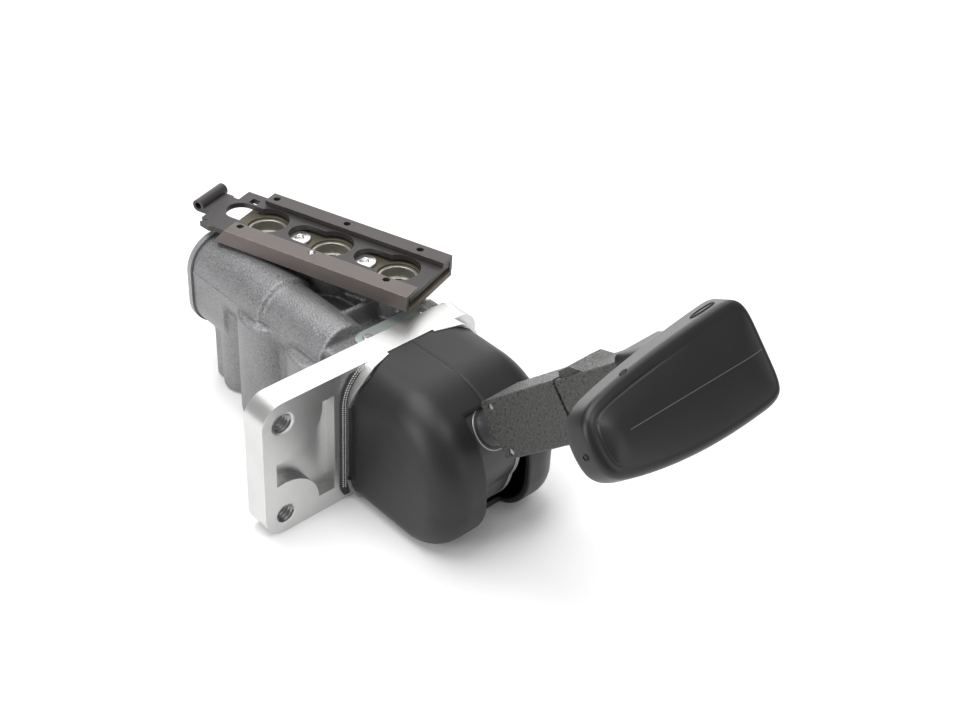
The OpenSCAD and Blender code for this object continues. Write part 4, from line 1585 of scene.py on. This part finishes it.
@dataclass
class SealKnurl:
    """The two rows of small pips on the seal strip, up beside the hood and round its upper corner.

    Attributes:
        side_x: the hood's left side.
        reaches: the rows' distances from the hood's side.
        corner: Z of the corner's centre and the corner's radius.
        foot: the lowest pip's height.
        turn: how far the rows follow the corner, in degrees.
        step: distance between pips.
        radius: a pip's radius.
        face_y: the strip's front face.
    """

    side_x: float = 26.0
    reaches: tuple[float, float] = (1.95, 2.95)
    corner: tuple[float, float] = (14.0, 13.0)
    foot: float = -20.0
    turn: float = 62.0
    step: float = 0.86
    radius: float = 0.30
    face_y: float = -0.8

    def row(self, reach: float, shift: float) -> tuple[np.ndarray, list]:
        """Builds one row of pips, each a low dome, spaced evenly along the strip.

        Args:
            reach: the row's distance from the hood's side.
            shift: how far the row is moved along the strip.

        Returns:
            The points and the faces.
        """
        corner_z, corner_r = self.corner
        bend = corner_r + reach
        straight = corner_z - self.foot
        along = np.arange(shift, straight + math.radians(self.turn) * bend, self.step)
        angle = np.clip((along - straight) / bend, 0, None)
        x = self.side_x + corner_r - bend * np.cos(angle)
        z = np.minimum(self.foot + along, corner_z) + bend * np.sin(angle)
        rise = np.array([0.0, 0.16, 0.24])[:, None]
        width = self.radius * np.array([1.0, 0.8, 0.35])[:, None]
        rows, sides = len(rise), 8
        count = rows * sides
        a = np.linspace(0, 2 * math.pi, sides, endpoint=False)
        dome = np.stack([width * np.cos(a), -rise + 0 * a, width * np.sin(a)], axis=-1).reshape(-1, 3)
        centres = np.column_stack([x, np.full(len(x), self.face_y), z])
        points = (centres[:, None, :] + dome[None, :, :]).reshape(-1, 3)
        ends = [tuple(range(count - sides, count)), tuple(range(sides - 1, -1, -1))]
        one = grid_faces(rows, sides, closed=True) + ends
        faces = [tuple(i + count * n for i in face) for n in range(len(x)) for face in one]
        return points, faces

    def build(self) -> None:
        """Builds and dresses the pips."""
        points, faces = joined([self.row(reach, self.step / 2 * i) for i, reach in enumerate(self.reaches)])
        piece = solid("seal_knurl", points, faces, merge=0.001)
        dress(piece, DOTS, Body.VALVE)


# The studio


@dataclass
class Studio:
    """The camera at the photograph's angle, the pale floor and the soft lights.

    Attributes:
        eye: the camera's place, in millimetres.
        back: the direction from the object to the camera.
        yaw: angle of the level sideways direction about Z, in degrees.
        roll: turn of the picture about the view, in degrees.
        focal_px: the focal length in pixels of a 970 pixel wide picture.
        width_px: the picture's width.
        floor_z: height of the floor.
    """

    eye: tuple[float, float, float] = (-211.5, -294.5, 318.5)
    back: tuple[float, float, float] = (-0.5677, -0.5594, 0.6040)
    yaw: float = -45.42
    roll: float = 3.84
    focal_px: float = 1499.0
    width_px: float = 970.0
    floor_z: float = -26.2

    def camera(self) -> None:
        """Makes the camera."""
        data = bpy.data.cameras.new("camera")
        data.sensor_width = 36.0
        data.sensor_fit = "HORIZONTAL"
        data.lens = 36.0 * self.focal_px / self.width_px
        data.clip_start, data.clip_end = 0.01, 20.0
        camera = bpy.data.objects.new("camera", data)
        bpy.context.scene.collection.objects.link(camera)
        back = Vector(self.back).normalized()
        level = Vector((math.cos(math.radians(self.yaw)), math.sin(math.radians(self.yaw)), 0.0))
        level = (level - back * level.dot(back)).normalized()
        up = back.cross(level)
        c, s = math.cos(math.radians(self.roll)), math.sin(math.radians(self.roll))
        right = level * c + up * s
        upward = up * c - level * s
        matrix = Matrix((right, upward, back)).transposed().to_4x4()
        matrix.translation = Vector(self.eye) * MM
        camera.matrix_world = matrix
        bpy.context.scene.camera = camera

    def floor(self) -> None:
        """Makes the plain pale floor."""
        size = 6000.0
        corners = np.array([(-size, -size, 0), (size, -size, 0), (size, size, 0), (-size, size, 0)], float)
        corners[:, 2] = self.floor_z
        plane = mesh_object("floor", corners, [(0, 1, 2, 3)])
        material = bpy.data.materials.new("floor_white")
        material.use_nodes = True
        shader = next(n for n in material.node_tree.nodes if n.type == "BSDF_PRINCIPLED")
        shader.inputs["Base Color"].default_value = (0.93, 0.93, 0.93, 1.0)
        shader.inputs["Roughness"].default_value = 0.9
        plane.data.materials.append(material)

    @staticmethod
    def area_light(name: str, place: tuple, target: tuple, size: tuple[float, float], power: float) -> None:
        """Adds a soft light.

        Args:
            name: the light's name.
            place: its place in metres.
            target: the point it faces, in metres.
            size: width and height in metres.
            power: its power in watts.
        """
        data = bpy.data.lights.new(name, "AREA")
        data.shape = "RECTANGLE"
        data.size, data.size_y = size
        data.energy = power
        light = bpy.data.objects.new(name, data)
        bpy.context.scene.collection.objects.link(light)
        light.location = place
        light.rotation_euler = (Vector(target) - Vector(place)).to_track_quat("-Z", "Y").to_euler()

    def lights(self) -> None:
        """Makes the world's light and the softboxes."""
        world = bpy.data.worlds.new("studio")
        bpy.context.scene.world = world
        world.use_nodes = True
        background = next(n for n in world.node_tree.nodes if n.type == "BACKGROUND")
        background.inputs["Color"].default_value = (1.0, 1.0, 1.0, 1.0)
        background.inputs["Strength"].default_value = 0.36
        middle = (0.04, 0.0, 0.0)
        self.area_light("top_box", (-0.05, 0.15, 0.75), middle, (0.7, 0.5), 5.0)
        self.area_light("left_box", (-0.75, 0.05, 0.35), middle, (0.25, 0.6), 3.0)
        self.area_light("front_box", (0.25, -0.8, 0.25), middle, (0.35, 0.5), 0.8)
        self.area_light("brow_box", (0.10, -0.42, 0.68), middle, (0.35, 0.3), 1.3)
        self.area_light("back_box", (0.52, 0.48, 0.50), middle, (0.6, 0.45), 1.5)
        self.area_light("rim_box", (0.52, 0.72, 0.10), middle, (0.7, 0.25), 1.6)
        bpy.context.scene.view_settings.view_transform = "Standard"

    def build(self) -> None:
        """Sets the whole studio."""
        self.camera()
        self.floor()
        self.lights()


@dataclass(frozen=True)
class Carried:
    """A CAD node that stays as it is and only gets a finish.

    Attributes:
        node: the CAD node's name.
        finish: its finish.
    """

    node: str
    finish: Finish

    def dress(self, frame: dict) -> None:
        """Puts the finish on the node's material slots.

        Args:
            frame: the loaded frame.
        """
        mesh = frame["nodes"][self.node].data
        if not mesh.materials:
            mesh.materials.append(self.finish.material())
        for index in range(len(mesh.materials)):
            mesh.materials[index] = self.finish.material()


ROUNDED = (
    Flange("mounting_flange", FLANGE, Body.VALVE, "bright_flange", 0.45, 3),
    RoundedPart("rear_cover", COVER, Body.VALVE, "cover_metal", 0.5, 3),
    RoundedPart("rear_cover_screws", SCREW, Body.VALVE, "screw_steel", 0.3),
    RoundedPart("hood_seal", RUBBER, Body.VALVE, "seal_rubber", 0.2),
    RoundedPart("lever_arm", GRAINED, Body.LEVER, "grained_plastic", 0.45, 3),
    RoundedPart("release_collar", GRAINED, Body.COLLAR, "grained_plastic", 0.45, 3),
    RoundedPart("cam_drum", DRUM, Body.LEVER, "drum_plastic", 0.35),
    RoundedPart("port_plate", PLATE, Body.VALVE, "plate_olive", 0.2),
    RoundedPart("port_socket_1", SOCKET, Body.VALVE, "socket_metal", 0.2),
    RoundedPart("port_socket_2", SOCKET, Body.VALVE, "socket_metal", 0.2),
    RoundedPart("port_socket_3", SOCKET, Body.VALVE, "socket_metal", 0.2),
    RoundedPart("plate_screws", SCREW, Body.VALVE, "screw_steel", 0.25),
    RoundedPart("rail_near", RAIL_LIT, Body.VALVE, "slide_steel", 0.35, 3),
    RoundedPart("rail_far", RAIL_SHADED, Body.VALVE, "slide_steel", 0.35, 3),
    RoundedPart("lock_slide", SLIDE, Body.SLIDE, "slide_steel", 0.3),
    RoundedPart("data_plate", LABEL, Body.VALVE, "plate_label", 0.15),
    RoundedPart("data_plate_rivets", SCREW, Body.VALVE, "screw_steel", 0.25),
    RoundedPart("arm_pins", SCREW, Body.LEVER, "screw_steel", 0.2),
)

CARRIED = (
    Carried("flange_screws", SCREW),
    Carried("pivot_bracket", STEEL),
    Carried("bracket_screws", SCREW),
    Carried("pivot_pin", STEEL),
    Carried("lever_stem", STEEL),
    Carried("collar_spring", WIRE),
    Carried("plunger", BRASS),
    Carried("graduating_spring", WIRE),
    Carried("piston", ALLOY),
    Carried("piston_rings", RUBBER),
    Carried("valve_insert", BRASS),
    Carried("valve_spring", WIRE),
    Carried("detent_ball", SCREW),
)


def main() -> None:
    """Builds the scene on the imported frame."""
    logging.basicConfig(level=logging.INFO, format="%(name)s: %(message)s")
    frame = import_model()
    Studio().build()
    for carried in CARRIED:
        carried.dress(frame)
    for part in ROUNDED:
        part.build(frame)
    Casting().build(frame)
    Hood().build()
    Handle().build()
    DrumTrim().build()
    ThreadedHoles().build()
    SealKnurl().build()
    for piece in bpy.context.scene.objects:
        if piece.type == "MESH" and not piece.hide_render:
            LOG.info("%s: %d faces, %s", piece.name, len(piece.data.polygons), piece.data.materials[0].name)


if __name__ == "__main__":
    main()
